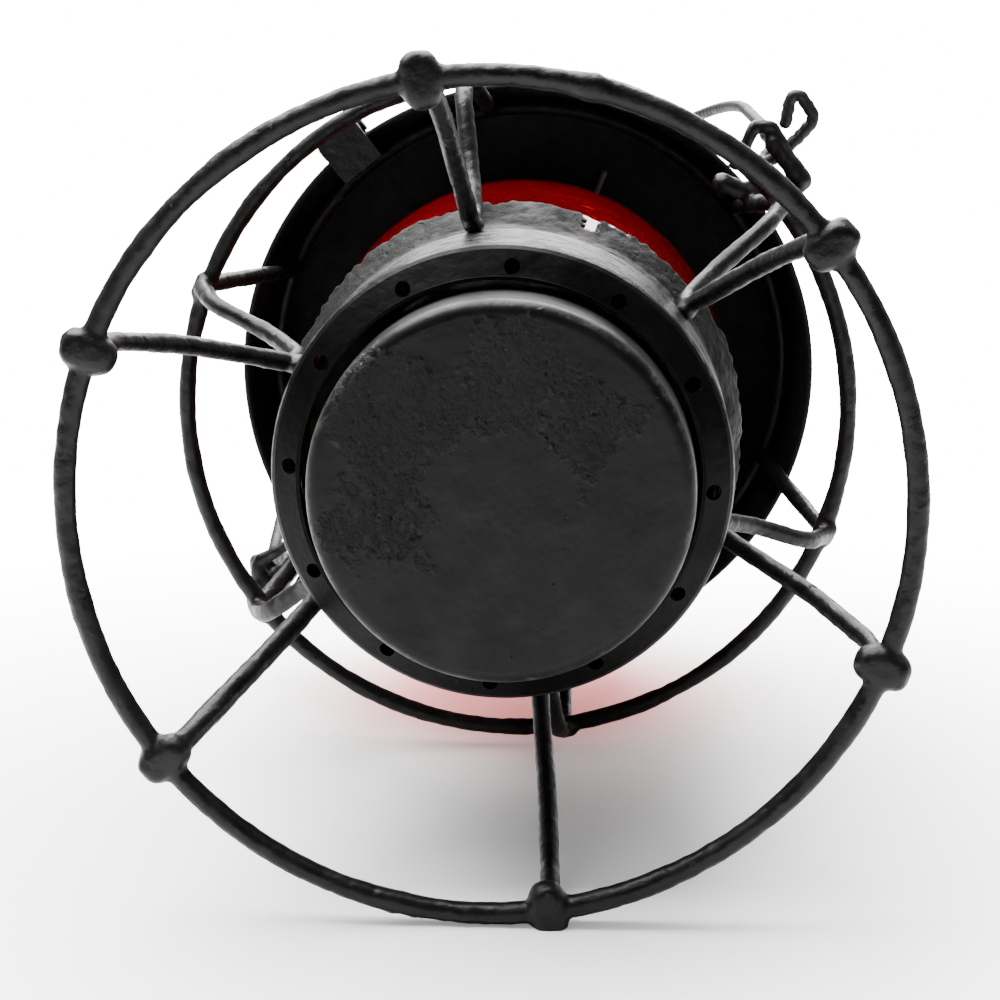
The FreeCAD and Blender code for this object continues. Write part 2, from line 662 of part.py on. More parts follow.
cone_tool = Part.makeCone(VAL["rim_rad"] + 0.02, VAL["rim_rad"] + 0.02 - 24 * math.tan(slope), 24, V(0, 0, lift + VAL["rim_z"]))
leaf = leaf.cut(cone_tool)
leaf = max(leaf.Solids, key=lambda s: s.Volume)
keep(feature("hinge_leaf", leaf), "hinge_leaf")

# Latch: a bracket on the skirt carries a pin; the lever hangs from it and its nose faces the catch lip.
ly0, lz0 = 80.9, lift + 195.0
ear_a = Part.makeBox(1.2, 6.4, 7.0, V(-5.2, 76.4, lift + 191.5))
ear_b = Part.makeBox(1.2, 6.4, 7.0, V(4.0, 76.4, lift + 191.5))
back = Part.makeBox(10.4, 1.0, 7.0, V(-5.2, 76.9, lift + 191.5))
bracket = ear_a.fuse(ear_b).fuse(back)
bracket = bracket.cut(Part.makeCylinder(0.9, 20, V(-10, ly0, lz0), V(1, 0, 0)))
bracket = bracket.cut(cone_tool)
bracket = max(bracket.Solids, key=lambda s: s.Volume)
keep(feature("latch_bracket", bracket, FreeCAD.Placement(V(0, 0, 0), latch_turn)), "latch_bracket")
keep(feature("latch_pin", Part.makeCylinder(0.9, 11.6, V(-5.8, ly0, lz0), V(1, 0, 0)), FreeCAD.Placement(V(0, 0, 0), latch_turn)), "latch_pin")
lev = [(78.75, 196.5), (79.6, 198.6), (81.6, 203.8), (82.6, 203.5), (82.4, 197.0), (83.6, 184.0), (83.3, 180.2), (84.8, 177.2), (84.0, 176.7), (82.15, 180.0), (82.3, 184.0), (81.5, 191.6), (79.2, 192.9)]
lever = Part.Face(Part.makePolygon([V(0, a + 0.5, b + lift) for a, b in lev + lev[:1]])).extrude(V(7.4, 0, 0))
lever.translate(V(-3.7, 0, 0))
lever = lever.cut(Part.makeCylinder(0.96, 20, V(-10, ly0, lz0), V(1, 0, 0)))
keep(feature("latch_lever", lever, FreeCAD.Placement(V(0, 0, 0), latch_turn)), "latch_lever")

# Rivets through the hinge leaf and the latch bracket.
riv = []
for sx in (-5.0, 5.0):
    for h in (193.6, 198.6):
        n = V(0, -math.cos(slope), math.sin(slope))
        base = V(sx, -skirt_r(h) - 1.21, lift + h)
        s = Part.makeSphere(1.5, base, n, 0, 90, 360)
        riv.append(s)
keep(feature("hood_rivets", Part.makeCompound(riv)), "hood_rivets")

# Globe retainer: a wire ring held under the hood by three bent legs, just above the globe's rim.
ret = Part.makeTorus(40.0, 0.9, V(0, 0, lift + 218.2))
for k in range(3):
    leg = bent([(40.0, 0, lift + 218.2), (47.0, 0, lift + 217.0), (58.0, 0, lift + 213.6)], [12.0], 0.85)
    ret = ret.fuse(spin(leg, 90 + 120 * k))
keep(feature("globe_retainer", ret), "globe_retainer")

# ================================================================ bail
# Built in its own plane: s along the pivot line, h up. Straight legs and a half-round arch; each end is
# cranked inwards, passes out through the ear's eye along the pivot line and is curled beyond it.
leg_h, bw = VAL["bail_leg"], VAL["bail_wire"]
leg_s = VAL["bail_half"]
tilt = 7.0


def bail_solid():
    # each leg is cranked inwards beside the ear, passes out through the eye and ends in a curl beyond it
    end_r = [(leg_s, 0, 60.0), (leg_s, 0, 15.0), (87.2, 0, 7.0), (87.2, 0, 0), (98.5, 0, 0), (105.3, -1.0, 0.2), (106.3, -12.0, 0.6), (98.2, -5.0, 1.0)]
    end_l = [(-leg_s, 0, 60.0), (-leg_s, 0, 15.0), (-87.2, 0, 7.0), (-87.2, 0, 0), (-99.6, 0, 0), (-102.4, 3.0, -0.3), (-101.4, 6.5, -0.6)]
    a = bent(end_r, [9.0, 5.0, 2.4, 3.0, 3.0, 1.9], bw)
    b = bent(end_l, [9.0, 5.0, 2.4, 3.0, 2.4], bw)
    arc = [
        Part.LineSegment(V(leg_s, 0, 60.0), V(leg_s, 0, leg_h)).toShape(),
        Part.Arc(V(leg_s, 0, leg_h), V(0, 0, leg_h + leg_s), V(-leg_s, 0, leg_h)).toShape(),
        Part.LineSegment(V(-leg_s, 0, leg_h), V(-leg_s, 0, 60.0)).toShape(),
    ]
    w = Part.Wire(arc)
    ring = Part.Wire([Part.Circle(V(leg_s, 0, 60.0), V(0, 0, 1), bw).toShape()])
    c = w.makePipeShell([ring], True, False)
    return a.fuse(c).fuse(b)


bail = bail_solid()
rot = FreeCAD.Rotation(V(0, 0, 1), yaw).multiply(FreeCAD.Rotation(V(1, 0, 0), tilt))
keep(feature("bail_wire", bail, FreeCAD.Placement(V(0, py, pz), rot)), "bail_wire")

# ================================================================ oil fount
fr, fl, ft, fs = d("fount_rad"), d("fount_low"), d("fount_top"), d("fount_sheet")


def set_over(obj):
    """The fount sits a little off the lantern's axis; everything it carries moves with it."""
    obj.setExpression("Placement.Base.x", "dims.fount_x")
    obj.setExpression("Placement.Base.y", "dims.fount_y")
    return obj


fount = turned(
    "fount",
    [
        (0.0, zz(fl)),
        (fr - 0.3, zz(fl)),
        (fr, zz(fl + 8.0)),
        (fr, zz(ft)),
        (fr - fs, zz(ft)),
        (fr - fs, zz(fl + 8.0)),
        (fr - fs - 0.3, zz(fl + 0.7)),
        (0.0, zz(fl + 0.7)),
    ],
    fillets=[(fr - 0.3, zz(fl), 3.0), (fr - fs - 0.3, zz(fl + 0.7), 2.3)],
)
keep(set_over(fount), "fount_shell")
top = turned(
    "fount_lid",
    [
        (13.0, zz(ft + 3.4)),
        (30.0, zz(ft + 2.2)),
        (fr - fs - 0.05, zz(ft - 1.2)),
        (fr - fs - 0.05, zz(ft - 0.2)),
        (30.0, zz(ft + 3.0)),
        (13.0, zz(ft + 4.2)),
    ],
)
fill_hole = cylinder("fill_hole", 5.0, 12.0, -27.0, 0, zz(ft - 3.0))
keep(set_over(cut("fount_top_cut", top, fill_hole)), "fount_top")
neck_o = cylinder("fill_neck_o", 4.95, 7.4, -27.0, 0, zz(ft - 0.6))
neck_i = cylinder("fill_neck_i", 3.9, 9.0, -27.0, 0, zz(ft - 1.0))
keep(set_over(cut("filler_neck_cut", neck_o, neck_i)), "filler_neck")
cap_a = cylinder("fill_cap_a", 6.4, 4.4, -27.0, 0, zz(ft + 4.1))
cap_b = cylinder("fill_cap_b", 5.05, 3.3, -27.0, 0, zz(ft + 4.0))
grip = []
for k in range(14):
    a = math.radians(360.0 / 14 * k)
    grip.append(cylinder("fill_grip_%d" % k, 0.55, 8.0, q(-27.0 + 6.65 * math.cos(a)), q(6.65 * math.sin(a)), zz(ft + 2.0)))
keep(set_over(cut("filler_cap_cut", cut("filler_cap_bore", cap_a, cap_b), fused("fill_grip_set", grip))), "filler_cap")

burner_ring = turned(
    "burner_ring",
    [
        (10.5, zz(ft + 1.8)),
        (12.95, zz(ft + 1.8)),
        (12.95, zz(ft + 4.25)),
        (16.2, zz(ft + 4.25)),
        (16.2, zz(ft + 6.6)),
        (10.5, zz(ft + 6.6)),
    ],
)
keep(set_over(burner_ring), "burner_ring")
base = turned(
    "burner_base",
    [
        (10.4, zz(ft + 2.4)),
        (10.4, zz(ft + 6.7)),
        (14.0, zz(ft + 6.7)),
        (19.5, zz(ft + 11.5)),
        (20.6, zz(ft + 20.0)),
        (19.9, zz(ft + 20.0)),
        (18.9, zz(ft + 12.0)),
        (13.6, zz(ft + 7.4)),
        (9.7, zz(ft + 7.4)),
        (9.7, zz(ft + 2.4)),
    ],
)
air = []
for k in range(18):
    a = 20.0 * k
    c = cylinder("air_hole_%d" % k, 1.1, 12.0, q(12 * math.cos(math.radians(a))), q(12 * math.sin(math.radians(a))), zz(ft + 15.6), FreeCAD.Rotation(V(0, 0, 1), V(math.cos(math.radians(a)), math.sin(math.radians(a)), 0)))
    air.append(c)
shaft_way = cylinder("shaft_way", 1.06, 16.0, 10.0, 4.55, zz(ft + 10.2), FreeCAD.Rotation(V(0, 0, 1), V(1, 0, 0)))
keep(set_over(cut("burner_base_cut", base, fused("air_hole_set", air + [shaft_way]))), "burner_base")

# Wick tube: a flat tube with two windows where the star wheels bite the wick.
th_, tt = d("tube_half"), d("tube_thick")
tube_o = box("tube_o", -th_, th_, -tt, tt, zz(ft - 4.0), zz(ft + 31.0))
tube_i = box("tube_i", -th_ + 0.45, th_ - 0.45, -tt + 0.45, tt - 0.45, zz(ft - 6.0), zz(ft + 33.0))
tube_w = box("tube_w", -6.6, 6.6, 0.9, 4.0, zz(ft + 7.4), zz(ft + 13.0))
keep(set_over(cut("wick_tube_cut", cut("wick_tube_bore", tube_o, tube_i), tube_w)), "wick_tube")
# Tube bridge: a disc that holds the tube in the burner's throat.
bridge_o = cylinder("bridge_o", 9.65, 1.0, 0, 0, zz(ft + 3.0))
bridge_i = box("bridge_i", -th_ - 0.02, th_ + 0.02, -tt - 0.02, tt + 0.02, zz(ft + 1.0), zz(ft + 6.0))
bridge = cut("tube_bridge_cut", bridge_o, bridge_i)
keep(set_over(bridge), "tube_bridge")

cone = turned(
    "burner_cone",
    [
        (19.45, zz(ft + 17.0)),
        (19.45, zz(ft + 22.5)),
        (17.2, zz(ft + 28.6)),
        (12.0, zz(ft + 34.0)),
        (0.0, zz(ft + 37.0)),
        (0.0, zz(ft + 36.4)),
        (11.7, zz(ft + 33.4)),
        (16.6, zz(ft + 28.2)),
        (18.85, zz(ft + 22.4)),
        (18.85, zz(ft + 17.0)),
    ],
)
flame_slot = box("flame_slot", -10.6, 10.6, -3.4, 3.4, zz(ft + 27.0), zz(ft + 40.0))
keep(set_over(cut("burner_cone_cut", cone, flame_slot)), "burner_cone")

# Wick raiser: a shaft with two star wheels beside the wick, and a knob at its outer end.
sy, sz_ = 4.55, lift + 58.0 + 10.2
star_r, root_r = 3.0, 2.2


def star(y_unused, x0, width):
    pts = []
    for k in range(20):
        r = star_r if k % 2 == 0 else root_r
        a = math.radians(18 * k)
        pts.append(V(x0, sy + r * math.cos(a), sz_ + r * math.sin(a)))
    return Part.Face(Part.makePolygon(pts + pts[:1])).extrude(V(width, 0, 0))


shaft = Part.makeCylinder(1.0, 31.4, V(-6.4, sy, sz_), V(1, 0, 0))
raiser = shaft.fuse(star(0, -5.4, 2.6)).fuse(star(0, 2.8, 2.6))
fount_set = FreeCAD.Placement(V(fx, fy, 0), FreeCAD.Rotation())
keep(feature("raiser_shaft", raiser, fount_set), "raiser_shaft")
knob = Part.makeCylinder(4.6, 2.2, V(22.8, sy, sz_), V(1, 0, 0))
for k in range(16):
    a = math.radians(22.5 * k)
    knob = knob.cut(Part.makeCylinder(0.45, 4, V(22.0, sy + 4.75 * math.cos(a), sz_ + 4.75 * math.sin(a)), V(1, 0, 0)))
knob = knob.cut(Part.makeCylinder(1.0, 10, V(18, sy, sz_), V(1, 0, 0)))
keep(feature("wick_knob", knob, fount_set), "wick_knob")

wick = box("wick_strip", d("fount_x") - d("wick_half"), d("fount_x") + d("wick_half"), d("fount_y") - d("wick_thick"), d("fount_y") + d("wick_thick"), zz(fl + 9.0), zz(ft + 33.6))
keep(wick, "wick")

# ================================================================ check and write
doc.recompute()
bad = []
for o in doc.Objects:
    if "Invalid" in o.State or "Error" in o.State:
        bad.append("%s: %s" % (o.Label, o.State))
for o in PARTS:
    s = o.Shape
    if s.isNull() or not s.isValid() or not s.Solids:
        bad.append("%s: bad shape" % o.Label)
    elif any(x.Volume <= 0 for x in s.Solids):
        bad.append("%s: solid inside out" % o.Label)
if bad:
    raise SystemExit("\n".join(bad))
os.makedirs("parts", exist_ok=True)
for o in PARTS:
    o.Shape.exportStep("parts/%s.step" % o.Label)
    print("%-20s solids %d volume %.1f" % (o.Label, len(o.Shape.Solids), o.Shape.Volume))
print(len(PARTS), "sub-parts")
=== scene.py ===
import math

import bmesh
import bpy
import numpy as np
from mathutils import Matrix, Vector, noise


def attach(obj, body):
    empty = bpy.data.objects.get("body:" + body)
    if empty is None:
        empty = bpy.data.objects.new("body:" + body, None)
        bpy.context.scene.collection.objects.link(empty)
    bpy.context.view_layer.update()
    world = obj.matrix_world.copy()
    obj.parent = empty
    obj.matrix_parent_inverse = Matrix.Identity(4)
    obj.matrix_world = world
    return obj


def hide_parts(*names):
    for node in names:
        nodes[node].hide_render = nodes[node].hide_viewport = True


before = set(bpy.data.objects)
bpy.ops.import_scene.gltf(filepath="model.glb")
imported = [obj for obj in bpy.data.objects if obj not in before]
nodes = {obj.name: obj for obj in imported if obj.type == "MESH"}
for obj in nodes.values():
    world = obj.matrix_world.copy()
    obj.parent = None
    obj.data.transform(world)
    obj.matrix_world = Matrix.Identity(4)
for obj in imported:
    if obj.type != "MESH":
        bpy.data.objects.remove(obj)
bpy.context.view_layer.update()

LIFT = 3.6  # mm, foot ring centreline above the ground
SET = Vector((0.82, 0.65, 0.0))  # mm, sideways set of the collar and gallery


# ------------------------------------------------------------------ material helper
class Mat:
    def __init__(self, name):
        self.m = bpy.data.materials.new(name)
        self.m.use_nodes = True
        self.t = self.m.node_tree
        self.t.nodes.clear()
        self.out = self.t.nodes.new("ShaderNodeOutputMaterial")
        self.co = self.t.nodes.new("ShaderNodeTexCoord").outputs["Object"]

    def n(self, kind, **kw):
        node = self.t.nodes.new(kind)
        for k, v in kw.items():
            setattr(node, k, v)
        return node

    def put(self, sock, value):
        if isinstance(value, bpy.types.NodeSocket):
            self.t.links.new(value, sock)
        elif value is not None:
            sock.default_value = value

    def noise(self, scale, detail=4.0, rough=0.55, seed=0.0, distortion=0.0):
        mp = self.n("ShaderNodeMapping")
        self.put(mp.inputs["Vector"], self.co)
        mp.inputs["Location"].default_value = (seed * 0.713, seed * 0.371, seed * 0.537)
        t = self.n("ShaderNodeTexNoise")
        self.put(t.inputs["Vector"], mp.outputs[0])
        t.inputs["Scale"].default_value = scale
        t.inputs["Detail"].default_value = detail
        t.inputs["Roughness"].default_value = rough
        t.inputs["Distortion"].default_value = distortion
        return t.outputs["Fac"]

    def voronoi(self, scale, feature="F1", seed=0.0):
        mp = self.n("ShaderNodeMapping")
        self.put(mp.inputs["Vector"], self.co)
        mp.inputs["Location"].default_value = (seed * 0.713, seed * 0.371, seed * 0.537)
        t = self.n("ShaderNodeTexVoronoi", feature=feature)
        self.put(t.inputs["Vector"], mp.outputs[0])
        t.inputs["Scale"].default_value = scale
        return t.outputs["Distance"]

    def ramp(self, fac, a, b, lo=0.0, hi=1.0):
        """lo below a, hi above b, smooth between"""
        r = self.n("ShaderNodeMapRange", interpolation_type="SMOOTHSTEP")
        self.put(r.inputs["Value"], fac)
        r.inputs["From Min"].default_value = a
        r.inputs["From Max"].default_value = b
        r.inputs["To Min"].default_value = lo
        r.inputs["To Max"].default_value = hi
        return r.outputs[0]

    def math(self, op, a, b=0.0, c=None):
        m = self.n("ShaderNodeMath", operation=op)
        self.put(m.inputs[0], a)
        self.put(m.inputs[1], b)
        if c is not None:
            self.put(m.inputs[2], c)
        return m.outputs[0]

    def mix(self, fac, a, b):
        m = self.n("ShaderNodeMix", data_type="RGBA")
        self.put(m.inputs["Factor"], fac)
        self.put(m.inputs["A"], a if isinstance(a, bpy.types.NodeSocket) else (*a, 1.0))
        self.put(m.inputs["B"], b if isinstance(b, bpy.types.NodeSocket) else (*b, 1.0))
        return m.outputs["Result"]

    def xyz(self):
        s = self.n("ShaderNodeSeparateXYZ")
        self.put(s.inputs[0], self.co)
        return s.outputs["X"], s.outputs["Y"], s.outputs["Z"]

    def bump(self, height, dist, normal=None, strength=1.0):
        b = self.n("ShaderNodeBump")
        b.inputs["Strength"].default_value = strength
        b.inputs["Distance"].default_value = dist
        self.put(b.inputs["Height"], height)
        if normal is not None:
            self.put(b.inputs["Normal"], normal)
        return b.outputs["Normal"]

    def finish(self, color, rough, normal=None, metallic=0.0, **fixed):
        p = self.n("ShaderNodeBsdfPrincipled")
        self.put(p.inputs["Base Color"], color if isinstance(color, bpy.types.NodeSocket) else (*color, 1.0))
        self.put(p.inputs["Roughness"], rough)
        self.put(p.inputs["Metallic"], metallic)
        if normal is not None:
            self.put(p.inputs["Normal"], normal)
        for k, v in fixed.items():
            p.inputs[k.replace("_", " ")].default_value = v
        self.put(self.out.inputs["Surface"], p.outputs[0])
        self.p = p
        return self.m


def black_paint(name, base=(0.0022, 0.0021, 0.0021), lumps=1.0, rust=0.0, rough=(0.30, 0.5), dust=0.5, pits=0.0, green=False, orange_peel=1.0, soot=False, edge=None, spec=0.20):
    """Thick satin black paint: slow lumps, fine orange peel, rust blisters, worn tan chips and dust."""
    m = Mat(name)
    big = m.noise(26, 3, 0.5, 1)
    mid = m.noise(150, 5, 0.6, 2)
    fine = m.noise(900, 4, 0.6, 3)
    colour = m.mix(m.ramp(big, 0.35, 0.7), base, tuple(c * 1.6 + 0.001 for c in base))
    # scattered dust and rub marks
    speck = m.noise(2300, 2, 0.5, 4)
    speck_mask = m.math("MULTIPLY", m.ramp(speck, 0.70, 0.78), m.ramp(m.noise(60, 3, 0.5, 5), 0.45, 0.7))
    colour = m.mix(m.math("MULTIPLY", speck_mask, 0.40 * dust), colour, (0.20, 0.19, 0.17))
    haze = m.ramp(m.noise(75, 6, 0.65, 6), 0.5, 0.85)
    colour = m.mix(m.math("MULTIPLY", haze, 0.05 * dust), colour, (0.12, 0.115, 0.105))
    # rust: blisters first brown, then tan at their hearts
    r1 = m.noise(240, 8, 0.68, 7)
    where = m.ramp(m.noise(34, 3, 0.55, 8), 0.44, 0.66)
    mask = m.math("MULTIPLY", m.ramp(r1, 0.66 - 0.07 * rust, 0.74 - 0.05 * rust), where)
    mask = m.math("MULTIPLY", mask, min(1.0, rust * 1.4))
    colour = m.mix(m.math("MULTIPLY", mask, 0.6), colour, (0.040, 0.022, 0.012))
    heart = m.math("MULTIPLY", m.ramp(m.noise(700, 4, 0.6, 9), 0.58, 0.68), mask)
    colour = m.mix(m.math("MULTIPLY", heart, 0.55), colour, (0.17, 0.12, 0.07))
    if green:
        # two small spots of verdigris
        g = m.ramp(m.noise(320, 6, 0.6, 12), 0.5, 0.62)
        for spot, size in green:
            d = m.n("ShaderNodeVectorMath", operation="DISTANCE")
            m.put(d.inputs[0], m.co)
            d.inputs[1].default_value = spot
            near = m.ramp(d.outputs["Value"], size * 0.5, size, 1.0, 0.0)
            colour = m.mix(m.math("MULTIPLY", near, g), colour, (0.30, 0.50, 0.40))
    ro = m.ramp(mid, 0.3, 0.72, rough[0], rough[1])
    ro = m.math("ADD", ro, m.math("MULTIPLY", mask, 0.35))
    if edge:
        # worn bright along one turned edge
        ex, ey, ez = m.xyz()
        rad = m.math("SQRT", m.math("ADD", m.math("MULTIPLY", m.math("SUBTRACT", ex, edge[2]), m.math("SUBTRACT", ex, edge[2])), m.math("MULTIPLY", m.math("SUBTRACT", ey, edge[3]), m.math("SUBTRACT", ey, edge[3]))))
        near = m.ramp(m.math("ABSOLUTE", m.math("SUBTRACT", rad, edge[0])), 0.00015, 0.0006, 1.0, 0.0)
        near = m.math("MULTIPLY", near, m.ramp(m.math("ABSOLUTE", m.math("SUBTRACT", ez, edge[1])), 0.0002, 0.0009, 1.0, 0.0))
        near = m.math("MULTIPLY", near, m.ramp(m.noise(90, 5, 0.7, 17), 0.46, 0.62))
        colour = m.mix(m.math("MULTIPLY", near, 0.7), colour, (0.16, 0.14, 0.115))
    if soot:
        # the hood's inner sheet: matt soot, and painted shade: the colour is darkened wherever the sheet faces the axis
        # or the ground
        nrm = m.n("ShaderNodeSeparateXYZ")
        tex = m.n("ShaderNodeTexCoord")
        m.put(nrm.inputs[0], tex.outputs["Normal"])
        sx, sy, sz = m.xyz()
        dot = m.math("ADD", m.math("MULTIPLY", nrm.outputs["X"], sx), m.math("MULTIPLY", nrm.outputs["Y"], sy))
        soot_and_painted_shade = m.math("MAXIMUM", m.ramp(dot, -0.004, -0.018, 0.0, 1.0), m.ramp(nrm.outputs["Z"], -0.25, -0.6, 0.0, 1.0))
        # painted shade and soot: a near-black colour laid on the sheet that faces the axis or the ground
        colour = m.mix(m.math("MULTIPLY", soot_and_painted_shade, 0.85), colour, (0.0016, 0.0014, 0.0013))
        ro = m.math("ADD", ro, m.math("MULTIPLY", soot_and_painted_shade, 0.35))
    n = m.bump(mid, 0.00055 * lumps)
    n = m.bump(m.noise(420, 3, 0.5, 13), 0.00016 * orange_peel, n)
    n = m.bump(fine, 0.00004 * orange_peel, n)
    n = m.bump(mask, 0.0004, n)
    if pits:
        v = m.voronoi(520, seed=3)
        pit = m.ramp(v, 0.08, 0.36)
        pw = m.ramp(m.noise(46, 3, 0.55, 15), 0.52, 0.66)
        pit = m.math("SUBTRACT", 1.0, m.math("MULTIPLY", m.math("SUBTRACT", 1.0, pit), pw))
        n = m.bump(pit, 0.0006 * pits, n)
    return m.finish(colour, ro, n, Specular_IOR_Level=spec)


def fount_paint(name):
    """Smooth satin paint over a pitted tank: two rust-eaten patches of lumps and craters, a painted highlight along the
    bottom rim.
    """
    m = Mat(name)
    x, y, z = m.xyz()
    big = m.noise(24, 3, 0.5, 1)
    fine = m.noise(1300, 4, 0.6, 3)
    colour = m.mix(m.ramp(big, 0.35, 0.7), (0.0011, 0.00105, 0.0011), (0.0020, 0.00195, 0.0020))
    # patches given by their middles in the row frame
    warp = m.noise(70, 4, 0.6, 21)
    patch = None
    for (px, py), size in PATCHES:
        d = m.n("ShaderNodeVectorMath", operation="DISTANCE")
        c = m.n("ShaderNodeCombineXYZ")
        m.put(c.inputs[0], x)
        m.put(c.inputs[1], y)
        m.put(d.inputs[0], c.outputs[0])
        d.inputs[1].default_value = (px, py, 0)
        dd = m.math("ADD", d.outputs["Value"], m.math("MULTIPLY", m.math("SUBTRACT", warp, 0.5), 0.030))
        near = m.ramp(dd, size * 0.55, size * 1.05, 1.0, 0.0)
        patch = near if patch is None else m.math("MAXIMUM", patch, near)
    lump = m.noise(480, 5, 0.62, 22)
    crater = m.ramp(m.voronoi(430, seed=5), 0.1, 0.42)
    crater_where = m.ramp(m.noise(180, 3, 0.5, 23), 0.48, 0.6)
    h1 = m.math("MULTIPLY", m.math("MULTIPLY", m.math("SUBTRACT", 1.0, crater), crater_where), patch)
    h2 = m.math("MULTIPLY", m.ramp(lump, 0.42, 0.62), patch)
    # lone pits and grains all over
    lone = m.math("MULTIPLY", m.ramp(m.voronoi(260, seed=7), 0.10, 0.0, 0.0, 1.0), m.ramp(m.noise(120, 2, 0.5, 24), 0.5, 0.6))
    speck = m.math("MULTIPLY", m.ramp(m.noise(2600, 2, 0.5, 4), 0.72, 0.80), m.ramp(m.noise(90, 3, 0.5, 5), 0.45, 0.7))
    colour = m.mix(m.math("MULTIPLY", speck, 0.30), colour, (0.14, 0.13, 0.12))
    # painted highlight: a lighter line round the bottom edge, broken up by noise
    ax_, ay_ = m.math("SUBTRACT", x, 0.00167), m.math("SUBTRACT", y, 0.00091)
    rad = m.math("SQRT", m.math("ADD", m.math("MULTIPLY", ax_, ax_), m.math("MULTIPLY", ay_, ay_)))
    near = m.ramp(m.math("ABSOLUTE", m.math("SUBTRACT", rad, 0.0400)), 0.0003, 0.0010, 1.0, 0.0)
    near = m.math("MULTIPLY", near, m.ramp(z, 0.0185, 0.0170, 0.0, 1.0))
    near = m.math("MULTIPLY", near, m.ramp(m.noise(120, 5, 0.7, 27), 0.5, 0.68))
    colour = m.mix(m.math("MULTIPLY", near, 0.35), colour, (0.13, 0.12, 0.10))
    ro = m.ramp(m.noise(110, 5, 0.6, 25), 0.3, 0.7, 0.36, 0.50)
    n = m.bump(m.noise(60, 3, 0.5, 26), 0.0007)
    n = m.bump(m.noise(620, 3, 0.5, 13), 0.00007, n)
    n = m.bump(fine, 0.000025, n)
    n = m.bump(h1, -0.0010, n)
    n = m.bump(h2, 0.0006, n)
    n = m.bump(lone, -0.0003, n)
    return m.finish(colour, ro, n, Specular_IOR_Level=0.17)


def steel(name, tint=(0.20, 0.185, 0.165), soot=0.5, ro=(0.35, 0.6), metallic=0.85):
    m = Mat(name)
    a = m.noise(55, 6, 0.62, 31)
    b = m.noise(500, 5, 0.6, 32)
    colour = m.mix(m.ramp(a, 0.4, 0.7), tint, tuple(c * 0.45 for c in tint))
    colour = m.mix(m.math("MULTIPLY", m.ramp(m.noise(28, 4, 0.6, 33), 0.38, 0.7), soot), colour, (0.012, 0.011, 0.010))
    colour = m.mix(m.math("MULTIPLY", m.ramp(b, 0.62, 0.72), 0.5), colour, (0.11, 0.05, 0.02))
    r = m.ramp(b, 0.3, 0.7, ro[0], ro[1])
    n = m.bump(b, 0.0001)
    n = m.bump(a, 0.0003, n)
    return m.finish(colour, r, n, metallic=metallic)


def brass(name):
    m = Mat(name)
    a = m.noise(70, 6, 0.62, 41)
    b = m.noise(650, 5, 0.6, 42)
    colour = m.mix(m.ramp(a, 0.38, 0.7), (0.52, 0.36, 0.13), (0.20, 0.125, 0.05))
    colour = m.mix(m.math("MULTIPLY", m.ramp(b, 0.60, 0.72), 0.6), colour, (0.05, 0.035, 0.02))
    r = m.ramp(b, 0.3, 0.7, 0.28, 0.5)
    n = m.bump(b, 0.00007)
    return m.finish(colour, r, n, metallic=1.0)


def red_glass(name):
    m = Mat(name)
    a = m.noise(22, 3, 0.5, 51)
    colour = m.mix(m.ramp(a, 0.35, 0.7), (0.40, 0.0015, 0.005), (0.30, 0.001, 0.004))
    soot = m.math("MULTIPLY", m.ramp(m.noise(130, 6, 0.65, 52), 0.55, 0.8), 0.12)
    n = m.bump(m.noise(45, 2, 0.5, 53), 0.0007)
    m.finish(colour, m.math("ADD", soot, 0.025), n, Transmission_Weight=0.86, IOR=1.48)
    return m.m


def cotton(name):
    m = Mat(name)
    x, y, z = m.xyz()
    w = m.n("ShaderNodeTexWave", wave_type="BANDS", bands_direction="Z", wave_profile="SIN")
    m.put(w.inputs["Vector"], m.co)
    w.inputs["Scale"].default_value = 260
    w.inputs["Distortion"].default_value = 1.2
    w2 = m.n("ShaderNodeTexWave", wave_type="BANDS", bands_direction="X", wave_profile="SIN")
    m.put(w2.inputs["Vector"], m.co)
    w2.inputs["Scale"].default_value = 300
    weave = m.math("MULTIPLY", w.outputs["Fac"], w2.outputs["Fac"])
    char = m.ramp(z, 0.0905, 0.0945)
    colour = m.mix(weave, (0.42, 0.36, 0.26), (0.70, 0.64, 0.52))
    colour = m.mix(char, colour, (0.012, 0.010, 0.009))
    n = m.bump(weave, 0.0003)
    return m.finish(colour, 0.9, n)


PATCHES = [((-0.006, -0.026), 0.016), ((-0.024, -0.012), 0.013), ((0.018, -0.018), 0.012), ((0.024, 0.002), 0.009)]
GREEN = [((0.0, 0.0, 0.0), 0.001)]

cage_paint = black_paint("cage_paint", rust=0.55, lumps=1.0)
collar_paint = black_paint("collar_paint", base=(0.0008, 0.0007, 0.0007), lumps=0.5, rust=0.2, rough=(0.30, 0.45), dust=0.4, orange_peel=0.6, edge=(0.0500, 0.0384, 0.00082, 0.00065), spec=0.06)
band_paint = black_paint("band_paint", base=(0.0060, 0.0056, 0.0052), lumps=0.4, rust=0.5, rough=(0.22, 0.36), dust=1.0, orange_peel=0.5, spec=0.38)
rough_paint = black_paint("gallery_paint", base=(0.0024, 0.0022, 0.0021), lumps=2.2, rust=0.7, rough=(0.5, 0.75), dust=0.6, pits=1.0, spec=0.10)
hood_paint = black_paint("hood_paint", lumps=0.8, rust=0.45, rough=(0.30, 0.5), dust=0.6, soot=True)
bail_paint = black_paint("bail_paint", base=(0.0075, 0.0070, 0.0065), lumps=0.6, rust=0.9, rough=(0.36, 0.58), dust=1.4)
fount_mat = fount_paint("fount_paint")
tinned = steel("inner_steel")
dark_steel = steel("sooty_steel", tint=(0.10, 0.09, 0.08), soot=0.8, ro=(0.5, 0.75), metallic=0.6)
brass_mat = brass("burner_brass")
glass = red_glass("red_glass")
cotton_mat = cotton("wick_cotton")


def paint_node(name, mat):
    me = nodes[name].data
    me.materials.clear()
    me.materials.append(mat)


